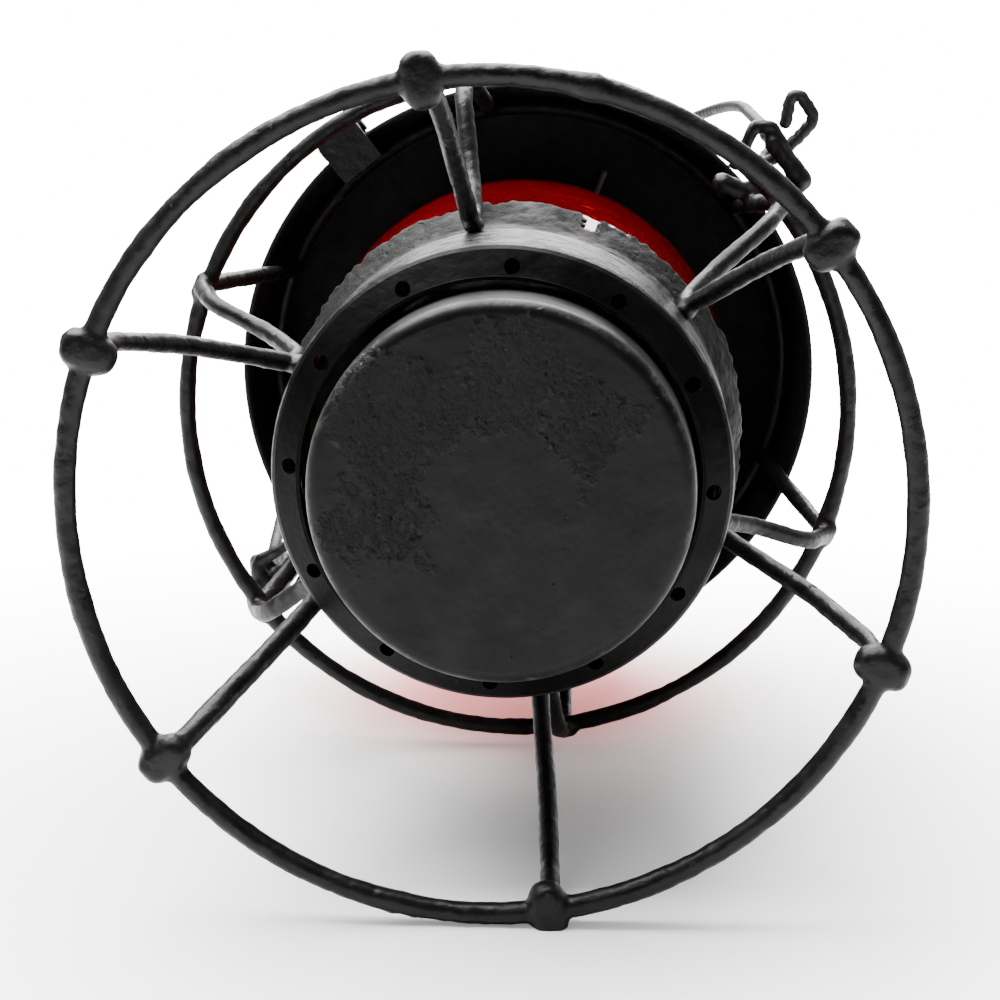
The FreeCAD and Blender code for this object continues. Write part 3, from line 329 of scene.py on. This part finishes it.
# ------------------------------------------------------------------ mesh helpers
def make(name, bm_or_mesh, mat, body, smooth=True):
    if isinstance(bm_or_mesh, bmesh.types.BMesh):
        me = bpy.data.meshes.new(name)
        bm_or_mesh.to_mesh(me)
        bm_or_mesh.free()
    else:
        me = bm_or_mesh
    ob = bpy.data.objects.new(name, me)
    bpy.context.collection.objects.link(ob)
    me.materials.clear()
    me.materials.append(mat)
    if smooth:
        me.polygons.foreach_set("use_smooth", [True] * len(me.polygons))
    if body:
        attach(ob, body)
    return ob


def tube(bm, pts, radius, seg=18, closed=False, caps=True):
    """Round tube through pts (mm, Vectors). radius is a number or a function of (index, share of length, angle)."""
    n = len(pts)
    lens = [0.0]
    for i in range(1, n):
        lens.append(lens[-1] + (pts[i] - pts[i - 1]).length)
    total = lens[-1] + ((pts[0] - pts[-1]).length if closed else 0.0)
    tang = []
    for i in range(n):
        a = pts[(i - 1) % n] if (closed or i > 0) else pts[i]
        b = pts[(i + 1) % n] if (closed or i < n - 1) else pts[i]
        tang.append((b - a).normalized())
    ref = Vector((0, 0, 1)) if abs(tang[0].z) < 0.9 else Vector((1, 0, 0))
    u = (ref - tang[0] * ref.dot(tang[0])).normalized()
    rows = []
    for i in range(n):
        u = (u - tang[i] * u.dot(tang[i])).normalized()
        v = tang[i].cross(u)
        row = []
        for k in range(seg):
            a = 2 * math.pi * k / seg
            r = radius(i, lens[i], a) if callable(radius) else radius
            row.append(bm.verts.new((pts[i] + (u * math.cos(a) + v * math.sin(a)) * r) * 0.001))
        rows.append(row)
    last = n if closed else n - 1
    for i in range(last):
        a, b = rows[i], rows[(i + 1) % n]
        for k in range(seg):
            k2 = (k + 1) % seg
            bm.faces.new((a[k], a[k2], b[k2], b[k]))
    if not closed and caps:
        for row, p, dirn in ((rows[0], pts[0], -tang[0]), (rows[-1], pts[-1], tang[-1])):
            rad = sum(((q.co * 1000 - p).length for q in row)) / seg
            ring = row
            for share in (0.8, 0.45):
                new = [bm.verts.new((p + (q.co * 1000 - p) * share + dirn * rad * math.sqrt(1 - share * share) * 0.8) * 0.001) for q in row]
                for k in range(seg):
                    k2 = (k + 1) % seg
                    f = (ring[k], ring[k2], new[k2], new[k]) if dirn is not tang[-1] else (ring[k], new[k], new[k2], ring[k2])
                    bm.faces.new(f)
                ring = new
            tip = bm.verts.new((p + dirn * rad * 0.8) * 0.001)
            for k in range(seg):
                k2 = (k + 1) % seg
                bm.faces.new((ring[k], ring[k2], tip))
    bmesh.ops.recalc_face_normals(bm, faces=bm.faces)


def bend_path(points, radii, step=1.2):
    """Straight runs joined by tangent arcs, sampled about every step mm."""
    pts = [Vector(p) for p in points]
    out = [pts[0].copy()]

    def line_to(q):
        p = out[-1]
        d = (q - p).length
        k = max(1, int(d / step))
        for i in range(1, k + 1):
            out.append(p.lerp(q, i / k))

    for i in range(1, len(pts) - 1):
        p = pts[i]
        d1 = (p - pts[i - 1]).normalized()
        d2 = (pts[i + 1] - p).normalized()
        turn = math.acos(max(-1.0, min(1.0, d1.dot(d2))))
        r = radii[i - 1]
        t = r * math.tan(turn / 2)
        room = min((p - pts[i - 1]).length, (pts[i + 1] - p).length)
        if t > 0.495 * room:
            t = 0.495 * room
            r = t / math.tan(turn / 2)
        a, b = p - d1 * t, p + d2 * t
        line_to(a)
        c = p + (d2 - d1).normalized() * (r / math.cos(turn / 2))
        k = max(2, int(r * turn / step))
        ra = a - c
        ax = d1.cross(d2).normalized()
        for j in range(1, k + 1):
            out.append(c + Matrix.Rotation(turn * j / k, 3, ax) @ ra)
    line_to(pts[-1])
    return out


def lumpy(seed, small=0.16, large=0.14, base=1.0):
    """Radius offset in mm from slow and quick noise, at a point in mm."""

    def f(p):
        q1 = Vector((p.x * 0.09 + seed, p.y * 0.09, p.z * 0.09))
        q2 = Vector((p.x * 0.42 - seed, p.y * 0.42, p.z * 0.42))
        return base * (large * noise.noise(q1) * 2 + small * noise.noise(q2) * 2)

    return f


def fuse(name, obs, voxel, mat, body, smooth=6, lump=None):
    """Joins objects into one skin, as thick paint does, then lays paint lumps on it."""
    bm = bmesh.new()
    for ob in obs:
        bm.from_mesh(ob.data)
    me = bpy.data.meshes.new(name)
    bm.to_mesh(me)
    bm.free()
    for ob in obs:
        if ob.name not in KEEP:
            bpy.data.objects.remove(ob)
    ob = bpy.data.objects.new(name, me)
    bpy.context.collection.objects.link(ob)
    rm = ob.modifiers.new("skin", "REMESH")
    rm.mode = "VOXEL"
    rm.voxel_size = voxel
    if smooth:
        sm = ob.modifiers.new("soften", "SMOOTH")
        sm.iterations = smooth
        sm.factor = 0.5
    dg = bpy.context.evaluated_depsgraph_get()
    new = bpy.data.meshes.new_from_object(ob.evaluated_get(dg))
    old = ob.data
    ob.modifiers.clear()
    ob.data = new
    bpy.data.meshes.remove(old)
    if lump is not None:
        co = np.empty(len(new.vertices) * 3, "f")
        new.vertices.foreach_get("co", co)
        co = co.reshape(-1, 3)
        no = np.array([v.normal[:] for v in new.vertices])
        off = np.array([lump(Vector((float(c[0]) * 1000, float(c[1]) * 1000, float(c[2]) * 1000))) for c in co])
        co = co + no * (off[:, None] * 0.001)
        new.vertices.foreach_set("co", co.astype("f").ravel())
        new.update()
    new.materials.clear()
    new.materials.append(mat)
    new.polygons.foreach_set("use_smooth", [True] * len(new.polygons))
    if body:
        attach(ob, body)
    return ob


KEEP = set()


def raw(bm, name="raw"):
    me = bpy.data.meshes.new(name)
    bm.to_mesh(me)
    bm.free()
    ob = bpy.data.objects.new(name, me)
    return ob


def ball(bm, centre, radii, rot=None, seg=24):
    m = Matrix.Translation(Vector(centre) * 0.001)
    if rot is not None:
        m = m @ rot.to_4x4()
    m = m @ Matrix.Diagonal((radii[0] * 0.001, radii[1] * 0.001, radii[2] * 0.001, 1))
    bmesh.ops.create_uvsphere(bm, u_segments=seg, v_segments=seg // 2, radius=1.0, matrix=m)


def polar(r, deg, h):
    a = math.radians(deg)
    return Vector((r * math.cos(a), r * math.sin(a), h + LIFT))


# ------------------------------------------------------------------ wirework of the cage
usual = [(86.0, 0.0), (84.7, 18.0), (74.5, 41.0), (52.7, 67.5), (52.7, 78.5), (62.0, 91.5), (78.5, 99.5), (85.3, 118.0), (72.4, 198.3)]
usual_bends = [16.0, 45.0, 7.0, 9.0, 25.0, 12.0, 9.0]
heavy = [(84.5, 0.0), (80.4, 3.6), (60.3, 41.0), (52.9, 62.0), (52.9, 78.5), (62.0, 91.5), (78.5, 99.5), (85.3, 118.0), (72.4, 198.3)]
heavy_bends = [2.6, 45.0, 14.0, 9.0, 25.0, 12.0, 9.0]
WIRES = [
    ("upright_right", 0.0, usual, usual_bends, 2.2),
    ("upright_back_right", 60.0, usual, usual_bends, 2.2),
    ("upright_back_left", 120.0, usual, usual_bends, 2.2),
    ("upright_left", 180.0, heavy, heavy_bends, 2.5),
    ("upright_front_left", 240.0, usual, usual_bends, 2.2),
    ("upright_front_right", 300.0, usual, usual_bends, 2.2),
]

raws = []
# foot ring, a little out of round, with the butt weld's bump
WELD = -38.0
bm = bmesh.new()
N = 420
pts = []
for i in range(N):
    a = 360.0 * i / N
    wob = 0.45 * noise.noise(Vector((math.cos(math.radians(a)) * 1.3 + 3, math.sin(math.radians(a)) * 1.3, 0.5)))
    wob2 = 0.3 * noise.noise(Vector((math.cos(math.radians(a)) * 1.6 + 9, math.sin(math.radians(a)) * 1.6, 4.5)))
    pts.append(polar(86.0 + wob, a, wob2 * 0.6))
lf = lumpy(3.1, small=0.0, large=0.10)


def ring_radius(i, s, a):
    deg = 360.0 * i / N
    d = (deg - WELD + 180) % 360 - 180
    return 2.38 + 0.55 * math.exp(-(d / 1.6) ** 2) + lf(pts[i])


tube(bm, pts, ring_radius, 22, closed=True)
raws.append(raw(bm))
# cast lugs: a domed barrel over the ring, with a short collar on each side where the ring goes in
for k, (name, ang, path, bends, rad) in enumerate(WIRES):
    bm = bmesh.new()
    prof = [(79.8, 0.0), (80.1, 1.9), (81.0, 3.1), (82.6, 3.95), (85.0, 4.25), (88.3, 4.2), (90.1, 3.6), (91.2, 2.5), (91.6, 1.1), (91.62, 0.0)]
    seg = 28
    rows = []
    jx = 0.25 * noise.noise(Vector((k * 3.3, 1, 1)))
    for r, w in prof:
        row = []
        for j in range(seg):
            a = 2 * math.pi * j / seg
            zc = w * math.sin(a)
            zc = max(zc, -3.45)
            c = polar(r + jx, ang, zc)
            side = Vector((-math.sin(math.radians(ang)), math.cos(math.radians(ang)), 0)) * (w * math.cos(a))
            row.append(bm.verts.new((c + side) * 0.001))
        rows.append(row)
    for a, b in zip(rows, rows[1:]):
        for j in range(seg):
            j2 = (j + 1) % seg
            bm.faces.new((a[j], a[j2], b[j2], b[j]))
    bmesh.ops.remove_doubles(bm, verts=bm.verts, dist=1e-6)
    bmesh.ops.recalc_face_normals(bm, faces=bm.faces)
    raws.append(raw(bm))
# uprights
for k, (name, ang, path, bends, rad) in enumerate(WIRES):
    p = bend_path([polar(r, ang, h) for r, h in path], bends, 1.0)
    f = lumpy(7.7 + k, small=0.0, large=0.08)
    bm = bmesh.new()
    tube(bm, p, lambda i, s, a, p=p, f=f, rad=rad: rad + f(p[i]), 18)
    raws.append(raw(bm))
# guard ring and the solder lumps that hold it
bm = bmesh.new()
gp = []
for i in range(380):
    a = 360.0 * i / 380
    wob = 0.5 * noise.noise(Vector((math.cos(math.radians(a)) * 1.4 + 23, math.sin(math.radians(a)) * 1.4, 7.5)))
    gp.append(polar(83.7 + wob * 0.7, a, 118.0 + wob * 0.8))
gf = lumpy(13.3, small=0.0, large=0.12)
tube(bm, gp, lambda i, s, a: 2.2 + gf(gp[i]), 18, closed=True)
raws.append(raw(bm))
for k, (name, ang, path, bends, rad) in enumerate(WIRES):
    bm = bmesh.new()
    ball(bm, polar(84.3, ang + 0.7, 118.4), (3.0, 3.1, 2.9), Matrix.Rotation(math.radians(ang), 3, "Z"), 16)
    ball(bm, polar(84.3, ang - 1.0, 117.3), (2.9, 2.8, 2.6), Matrix.Rotation(math.radians(ang), 3, "Z"), 16)
    raws.append(raw(bm))
# weld beads where the uprights run along the collar
for k, (name, ang, path, bends, rad) in enumerate(WIRES):
    bm = bmesh.new()
    ball(bm, polar(51.7, ang, 67.0) + SET * 0.6, (1.8, 2.6, 4.2), Matrix.Rotation(math.radians(ang), 3, "Z"), 16)
    raws.append(raw(bm))

# the bail's ears, under the same thick paint
for name in ("ear_right", "ear_left"):
    bm = bmesh.new()
    bm.from_mesh(nodes[name].data)
    bm.transform(nodes[name].matrix_world)
    raws.append(raw(bm))
quiet_lump = lumpy(41.0, small=0.075, large=0.07)


def fine_lump(p):
    """Paint lumps: quiet on the wires, heavier on the lugs and the ears."""
    out = math.hypot(p.x, p.y)
    heavy_here = (p.z < 9 and out > 88.5) or (abs(p.x) > 73 and 158 < p.z < 186)
    return quiet_lump(p) * (2.1 if heavy_here else 1.0)


wirework = fuse("cage_wirework", raws, 0.0007, cage_paint, "cage", smooth=3, lump=fine_lump)
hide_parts("foot_ring", "foot_lugs", "guard_ring", "ear_right", "ear_left", *[w[0] for w in WIRES])


# ------------------------------------------------------------------ bail: wire with a coarse spiral notch
YAW = math.atan2(-6.0, 183.5)
PIVOT = Vector((0, -2.5, 172.0 + LIFT))
BAIL = Matrix.Translation(PIVOT) @ Matrix.Rotation(YAW, 4, "Z") @ Matrix.Rotation(math.radians(7.0), 4, "X")
bail_r = bend_path([(94, 0, 60.0), (94, 0, 15.0), (87.2, 0, 7.0), (87.2, 0, 0), (98.5, 0, 0), (105.3, -1.0, 0.2), (106.3, -12.0, 0.6), (98.2, -5.0, 1.0)], [9.0, 5.0, 2.4, 3.0, 3.0, 1.9], 0.6)
bail_l = bend_path([(-94, 0, 60.0), (-94, 0, 15.0), (-87.2, 0, 7.0), (-87.2, 0, 0), (-99.6, 0, 0), (-102.4, 3.0, -0.3), (-101.4, 6.5, -0.6)], [9.0, 5.0, 2.4, 3.0, 2.4], 0.6)
arch = [Vector((94.0 * math.cos(math.pi * k / 480), 0, 80.0 + 94.0 * math.sin(math.pi * k / 480))) for k in range(481)]
rise = [Vector((94.0, 0, 60.0 + 20.0 * k / 32)) for k in range(1, 32)]
drop = [Vector((-94.0, 0, 80.0 - 20.0 * k / 32)) for k in range(1, 32)]
line = [BAIL @ q for q in list(reversed(bail_r)) + rise + arch + drop + bail_l]


def notch(i, s, a):
    turn = math.sin(a + 2 * math.pi * s / 2.6 + 0.8 * noise.noise(Vector((s * 0.05, 0, 0))))
    soft = 0.55 + 0.45 * noise.noise(Vector((s * 0.11, 3.0, 0)))
    return 1.70 + 0.17 * (turn if turn > 0 else 1.5 * turn) * soft + 0.07 * noise.noise(Vector((s * 0.6, math.cos(a), math.sin(a))))


bm = bmesh.new()
tube(bm, line, notch, 20)
bail_mesh = make("bail_notched", bm, bail_paint, "bail")
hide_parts("bail_wire")


# ------------------------------------------------------------------ turned pieces
def lathe(name, prof, mat, body, slot, seg=240, warp=None, closed=True, sub=0):
    """Turns a closed (radius, height) outline in mm about Z. warp moves a point: (r, deg, h) -> (r, deg, h)."""
    bm = bmesh.new()
    rows = []
    for j in range(seg):
        deg = 360.0 * j / seg
        row = []
        for r, h in prof:
            rr, dd, hh = (r, deg, h) if warp is None else warp(r, deg, h)
            row.append(bm.verts.new(polar(rr, dd, hh) * 0.001))
        rows.append(row)
    n = len(prof)
    last = n if closed else n - 1
    for j in range(seg):
        a, b = rows[j], rows[(j + 1) % seg]
        for i in range(last):
            i2 = (i + 1) % n
            bm.faces.new((a[i], a[i2], b[i2], b[i]))
    bmesh.ops.remove_doubles(bm, verts=bm.verts, dist=1e-7)
    bmesh.ops.recalc_face_normals(bm, faces=bm.faces)
    return make(name, bm, mat, body)


def densify(prof, step):
    out = []
    n = len(prof)
    for i in range(n):
        (r0, h0), (r1, h1) = prof[i], prof[(i + 1) % n]
        k = max(1, int(math.hypot(r1 - r0, h1 - h0) / step))
        for j in range(k):
            out.append((r0 + (r1 - r0) * j / k, h0 + (h1 - h0) * j / k))
    return out


# Gallery: rust-eaten sheet, ragged rim, one slot
def torn_rim(deg):
    a = math.radians(deg)
    slow = noise.noise(Vector((math.cos(a) * 1.7, math.sin(a) * 1.7, 2.0)))
    mid = noise.noise(Vector((math.cos(a) * 7, math.sin(a) * 7, 5.0)))
    quick = noise.noise(Vector((math.cos(a) * 26, math.sin(a) * 26, 9.0)))
    return min(90.0, 88.7 + 1.3 * slow + 1.3 * mid + 1.4 * quick)


def gallery():
    bm = bmesh.new()
    seg = 540
    levels = 30
    slot_half = 1.7 / 52.5
    outer, inner = [], []
    for j in range(seg):
        deg = 360.0 * j / seg
        top = torn_rim(deg)
        ro, ri = [], []
        for i in range(levels + 1):
            h = 68.2 + (top - 68.2) * i / levels
            if h < 72.5:
                r = 49.4 + (h - 68.2) / 4.3 * 0.7
            elif h < 79:
                r = 50.1 + (h - 72.5) / 6.5 * 0.2
            else:
                r = 50.3 + (h - 79.0) / 11.0 * 4.8
            p = polar(r, deg, h)
            dent = 0.45 * noise.noise(p * 0.11 + Vector((4, 4, 4))) + 0.22 * noise.noise(p * 0.5)
            r += dent
            thin = 0.35 if i > levels - 3 else 0.75
            ro.append(bm.verts.new((polar(r, deg, h) + SET) * 0.001))
            ri.append(bm.verts.new((polar(r - thin, deg, h) + SET) * 0.001))
        outer.append(ro)
        inner.append(ri)

    def in_slot(j, i):
        deg = 360.0 * (j + 0.5) / seg
        d = (deg - 328.5 + 180) % 360 - 180
        h = 68.2 + (torn_rim(deg) - 68.2) * (i + 0.5) / levels
        wide = math.degrees(slot_half) * (1.0 + 0.25 * math.sin(h * 3.1))
        return abs(d) < wide and h > 83.0

    for j in range(seg):
        j2 = (j + 1) % seg
        for i in range(levels):
            if in_slot(j, i):
                continue
            bm.faces.new((outer[j][i], outer[j2][i], outer[j2][i + 1], outer[j][i + 1]))
            bm.faces.new((inner[j][i], inner[j][i + 1], inner[j2][i + 1], inner[j2][i]))
            if i == levels - 1 or in_slot(j, i + 1):
                bm.faces.new((outer[j][i + 1], outer[j2][i + 1], inner[j2][i + 1], inner[j][i + 1]))
            if i == 0:
                bm.faces.new((outer[j][0], inner[j][0], inner[j2][0], outer[j2][0]))
            for jj, side in (((j - 1) % seg, 0), ((j + 1) % seg, 1)):
                if in_slot(jj, i):
                    q = j2 if side else j
                    bm.faces.new((outer[q][i], outer[q][i + 1], inner[q][i + 1], inner[q][i]))
    loose = [v for v in bm.verts if not v.link_faces]
    bmesh.ops.delete(bm, geom=loose, context="VERTS")
    bmesh.ops.recalc_face_normals(bm, faces=bm.faces)
    ob = make("gallery_torn", bm, rough_paint, "cage")
    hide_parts("globe_gallery")


gallery()

# ------------------------------------------------------------------ CAD nodes that stay, with their finishes
for n in ("top_ring", "hinge_bracket", "hinge_pin", "latch_catch"):
    paint_node(n, cage_paint)
paint_node("base_flange", collar_paint)
paint_node("collar_band", band_paint)
paint_node("globe_seat", dark_steel)
paint_node("seat_skirt", dark_steel)
paint_node("fount_clips", tinned)
paint_node("globe", glass)
for n in ("hood_shell", "hood_hem", "vent_neck", "smoke_cap", "cap_feet", "hinge_leaf", "latch_bracket", "latch_pin", "latch_lever", "hood_rivets"):
    paint_node(n, hood_paint)
for n in ("vent_baffle", "globe_retainer"):
    paint_node(n, dark_steel)
paint_node("fount_shell", fount_mat)
paint_node("fount_top", tinned)
for n in ("filler_neck", "filler_cap", "burner_ring", "burner_base", "wick_tube", "tube_bridge", "burner_cone", "raiser_shaft", "wick_knob"):
    paint_node(n, brass_mat)
paint_node("wick", cotton_mat)

# ------------------------------------------------------------------ stage, lights, camera
UP = Vector((0.6225, -0.7826, 0.0)).normalized()  # away from the table the lantern lies on
ALONG = Vector((0, 0, 1))
SIDE = UP.cross(ALONG).normalized()
RIGHT_FLAT = Vector((UP.y * -1.0, UP.x, 0.0))
REST = -UP * 0.0886


def floor_material(name, glow, cast=None):
    """Plain pale sheet seen from its front only; glow lifts it to paper white away from the lantern. cast is the place
    and reach of the red light that the globe lets through, given here as a tint of the sheet."""
    m = Mat(name)
    n1 = m.noise(3.0, 3, 0.5, 61)
    n2 = m.noise(160, 5, 0.6, 62)
    colour = m.mix(m.ramp(n1, 0.3, 0.7), (0.88, 0.88, 0.872), (0.85, 0.85, 0.842))
    if cast:
        near = m.n("ShaderNodeVectorMath", operation="DISTANCE")
        m.put(near.inputs[0], m.co)
        near.inputs[1].default_value = cast[0]
        reach = m.ramp(near.outputs["Value"], cast[1], cast[2], 0.9, 0.0)
        colour = m.mix(reach, colour, (0.78, 0.20, 0.19))
    p = m.n("ShaderNodeBsdfPrincipled")
    m.put(p.inputs["Base Color"], colour)
    p.inputs["Roughness"].default_value = 0.6
    m.put(p.inputs["Normal"], m.bump(n2, 0.00003))
    far = m.n("ShaderNodeVectorMath", operation="DISTANCE")
    m.put(far.inputs[0], m.co)
    far.inputs[1].default_value = glow[0]
    path = m.n("ShaderNodeLightPath")
    lift = m.math("MULTIPLY", m.ramp(far.outputs["Value"], glow[1], glow[2], 0.0, glow[3]), path.outputs["Is Camera Ray"])
    e = m.n("ShaderNodeEmission")
    e.inputs["Color"].default_value = (1.0, 1.0, 0.995, 1.0)
    if cast:
        m.put(e.inputs["Color"], m.mix(reach, (1.0, 1.0, 0.995), (0.78, 0.20, 0.19)))
    m.put(e.inputs["Strength"], lift)
    add = m.n("ShaderNodeAddShader")
    m.put(add.inputs[0], p.outputs[0])
    m.put(add.inputs[1], e.outputs[0])
    geo = m.n("ShaderNodeNewGeometry")
    tr = m.n("ShaderNodeBsdfTransparent")
    mix = m.n("ShaderNodeMixShader")
    m.put(mix.inputs[0], geo.outputs["Backfacing"])
    m.put(mix.inputs[1], add.outputs[0])
    m.put(mix.inputs[2], tr.outputs[0])
    m.put(m.out.inputs["Surface"], mix.outputs[0])
    return m.m


under_globe = Vector((0, 0, 0.170)) - UP * (Vector((0, 0, 0.170)) - Vector(REST)).dot(UP)
floor_mat = floor_material("pale_floor", ((0.0, 0.0, 0.05), 0.07, 0.50, 17.0), (under_globe, 0.020, 0.080))


def plane(name, centre, u, v, w, h):
    bm = bmesh.new()
    c = Vector(centre)
    q = [bm.verts.new(c + u * sx * w + v * sy * h) for sx, sy in ((-1, -1), (1, -1), (1, 1), (-1, 1))]
    bm.faces.new(q)
    me = bpy.data.meshes.new(name)
    bm.to_mesh(me)
    bm.free()
    ob = bpy.data.objects.new(name, me)
    bpy.context.collection.objects.link(ob)
    me.materials.append(floor_mat)
    return ob


table_top = plane("table_top", REST, ALONG, SIDE, 4.0, 4.0)
nrm = table_top.data.polygons[0].normal
if nrm.dot(UP) < 0:
    table_top.data.flip_normals()

# The lantern lies on its side in the photograph. Seen upright, it stands on this sheet instead: only a camera above
# the ground sees it, and it takes no part in the light of the main picture.
ground_mat = floor_material("ground_sheet", ((0.0, 0.0, 0.0), 0.09, 0.60, 16.0))
ground = plane("ground_sheet", Vector((0, 0, -0.0003)), RIGHT_FLAT, UP, 4.0, 4.0)
ground.data.materials.clear()
ground.data.materials.append(ground_mat)
if ground.data.polygons[0].normal.z < 0:
    ground.data.flip_normals()
ground.visible_diffuse = False
ground.visible_glossy = False
ground.visible_transmission = False
ground.visible_shadow = False


def area(name, loc, aim, size, power, color=(1, 1, 1), size_y=None):
    l = bpy.data.lights.new(name, "AREA")
    l.shape = "RECTANGLE"
    l.size = size
    l.size_y = size_y or size
    l.energy = power
    l.color = color
    o = bpy.data.objects.new(name, l)
    bpy.context.collection.objects.link(o)
    o.location = loc
    d = (Vector(aim) - Vector(loc)).normalized()
    o.rotation_euler = d.to_track_quat("-Z", "Y").to_euler()
    return o


CAM = Vector((0.0797, -0.0578, -0.4319 + LIFT * 0.001))
FWD = Vector((-0.1726, 0.1306, 0.9763)).normalized()
RIGHT = Vector((0.7814, 0.6216, 0.0550))
RIGHT = (RIGHT - FWD * RIGHT.dot(FWD)).normalized()
CUP = RIGHT.cross(FWD).normalized()

mid = Vector((0, 0, 0.12))
area("key_above", mid + UP * 1.20 + ALONG * 0.25 - RIGHT * 0.35, mid, 1.2, 92)
area("front_fill", CAM + CUP * 0.75 - RIGHT * 0.55 - FWD * 0.25, mid, 0.6, 2.2)
area("rear_wash", mid + UP * 0.9 + ALONG * 1.2, mid, 1.1, 48)

# A white backdrop to look at; the room itself is bright behind and above the lantern, dark on its foot's side.
world = bpy.data.worlds.new("studio")
bpy.context.scene.world = world
world.use_nodes = True
wt = world.node_tree
wt.nodes.clear()
w_out = wt.nodes.new("ShaderNodeOutputWorld")
w_bg = wt.nodes.new("ShaderNodeBackground")
w_co = wt.nodes.new("ShaderNodeTexCoord")
w_sep = wt.nodes.new("ShaderNodeSeparateXYZ")
wt.links.new(w_co.outputs["Generated"], w_sep.inputs[0])
w_up = wt.nodes.new("ShaderNodeMapRange")
w_up.interpolation_type = "SMOOTHSTEP"
wt.links.new(w_sep.outputs["Z"], w_up.inputs["Value"])
w_up.inputs["From Min"].default_value = -0.6
w_up.inputs["From Max"].default_value = 0.3
w_up.inputs["To Min"].default_value = 0.02
w_up.inputs["To Max"].default_value = 1.0
w_path = wt.nodes.new("ShaderNodeLightPath")
w_mix = wt.nodes.new("ShaderNodeMix")
w_mix.data_type = "FLOAT"
wt.links.new(w_path.outputs["Is Camera Ray"], w_mix.inputs["Factor"])
wt.links.new(w_up.outputs[0], w_mix.inputs["A"])
w_mix.inputs["B"].default_value = 22.0
w_bg.inputs["Color"].default_value = (1.0, 1.0, 1.0, 1.0)
wt.links.new(w_mix.outputs["Result"], w_bg.inputs["Strength"])
wt.links.new(w_bg.outputs[0], w_out.inputs["Surface"])

cam = bpy.data.cameras.new("camera")
cam.lens = 79.4
cam.sensor_width = 36
cam.clip_start = 0.01
cam.clip_end = 50
cam.dof.use_dof = False
co = bpy.data.objects.new("camera", cam)
bpy.context.collection.objects.link(co)
rotm = Matrix((RIGHT, CUP, -FWD)).transposed()
co.matrix_world = Matrix.Translation(CAM) @ rotm.to_4x4()
bpy.context.scene.camera = co
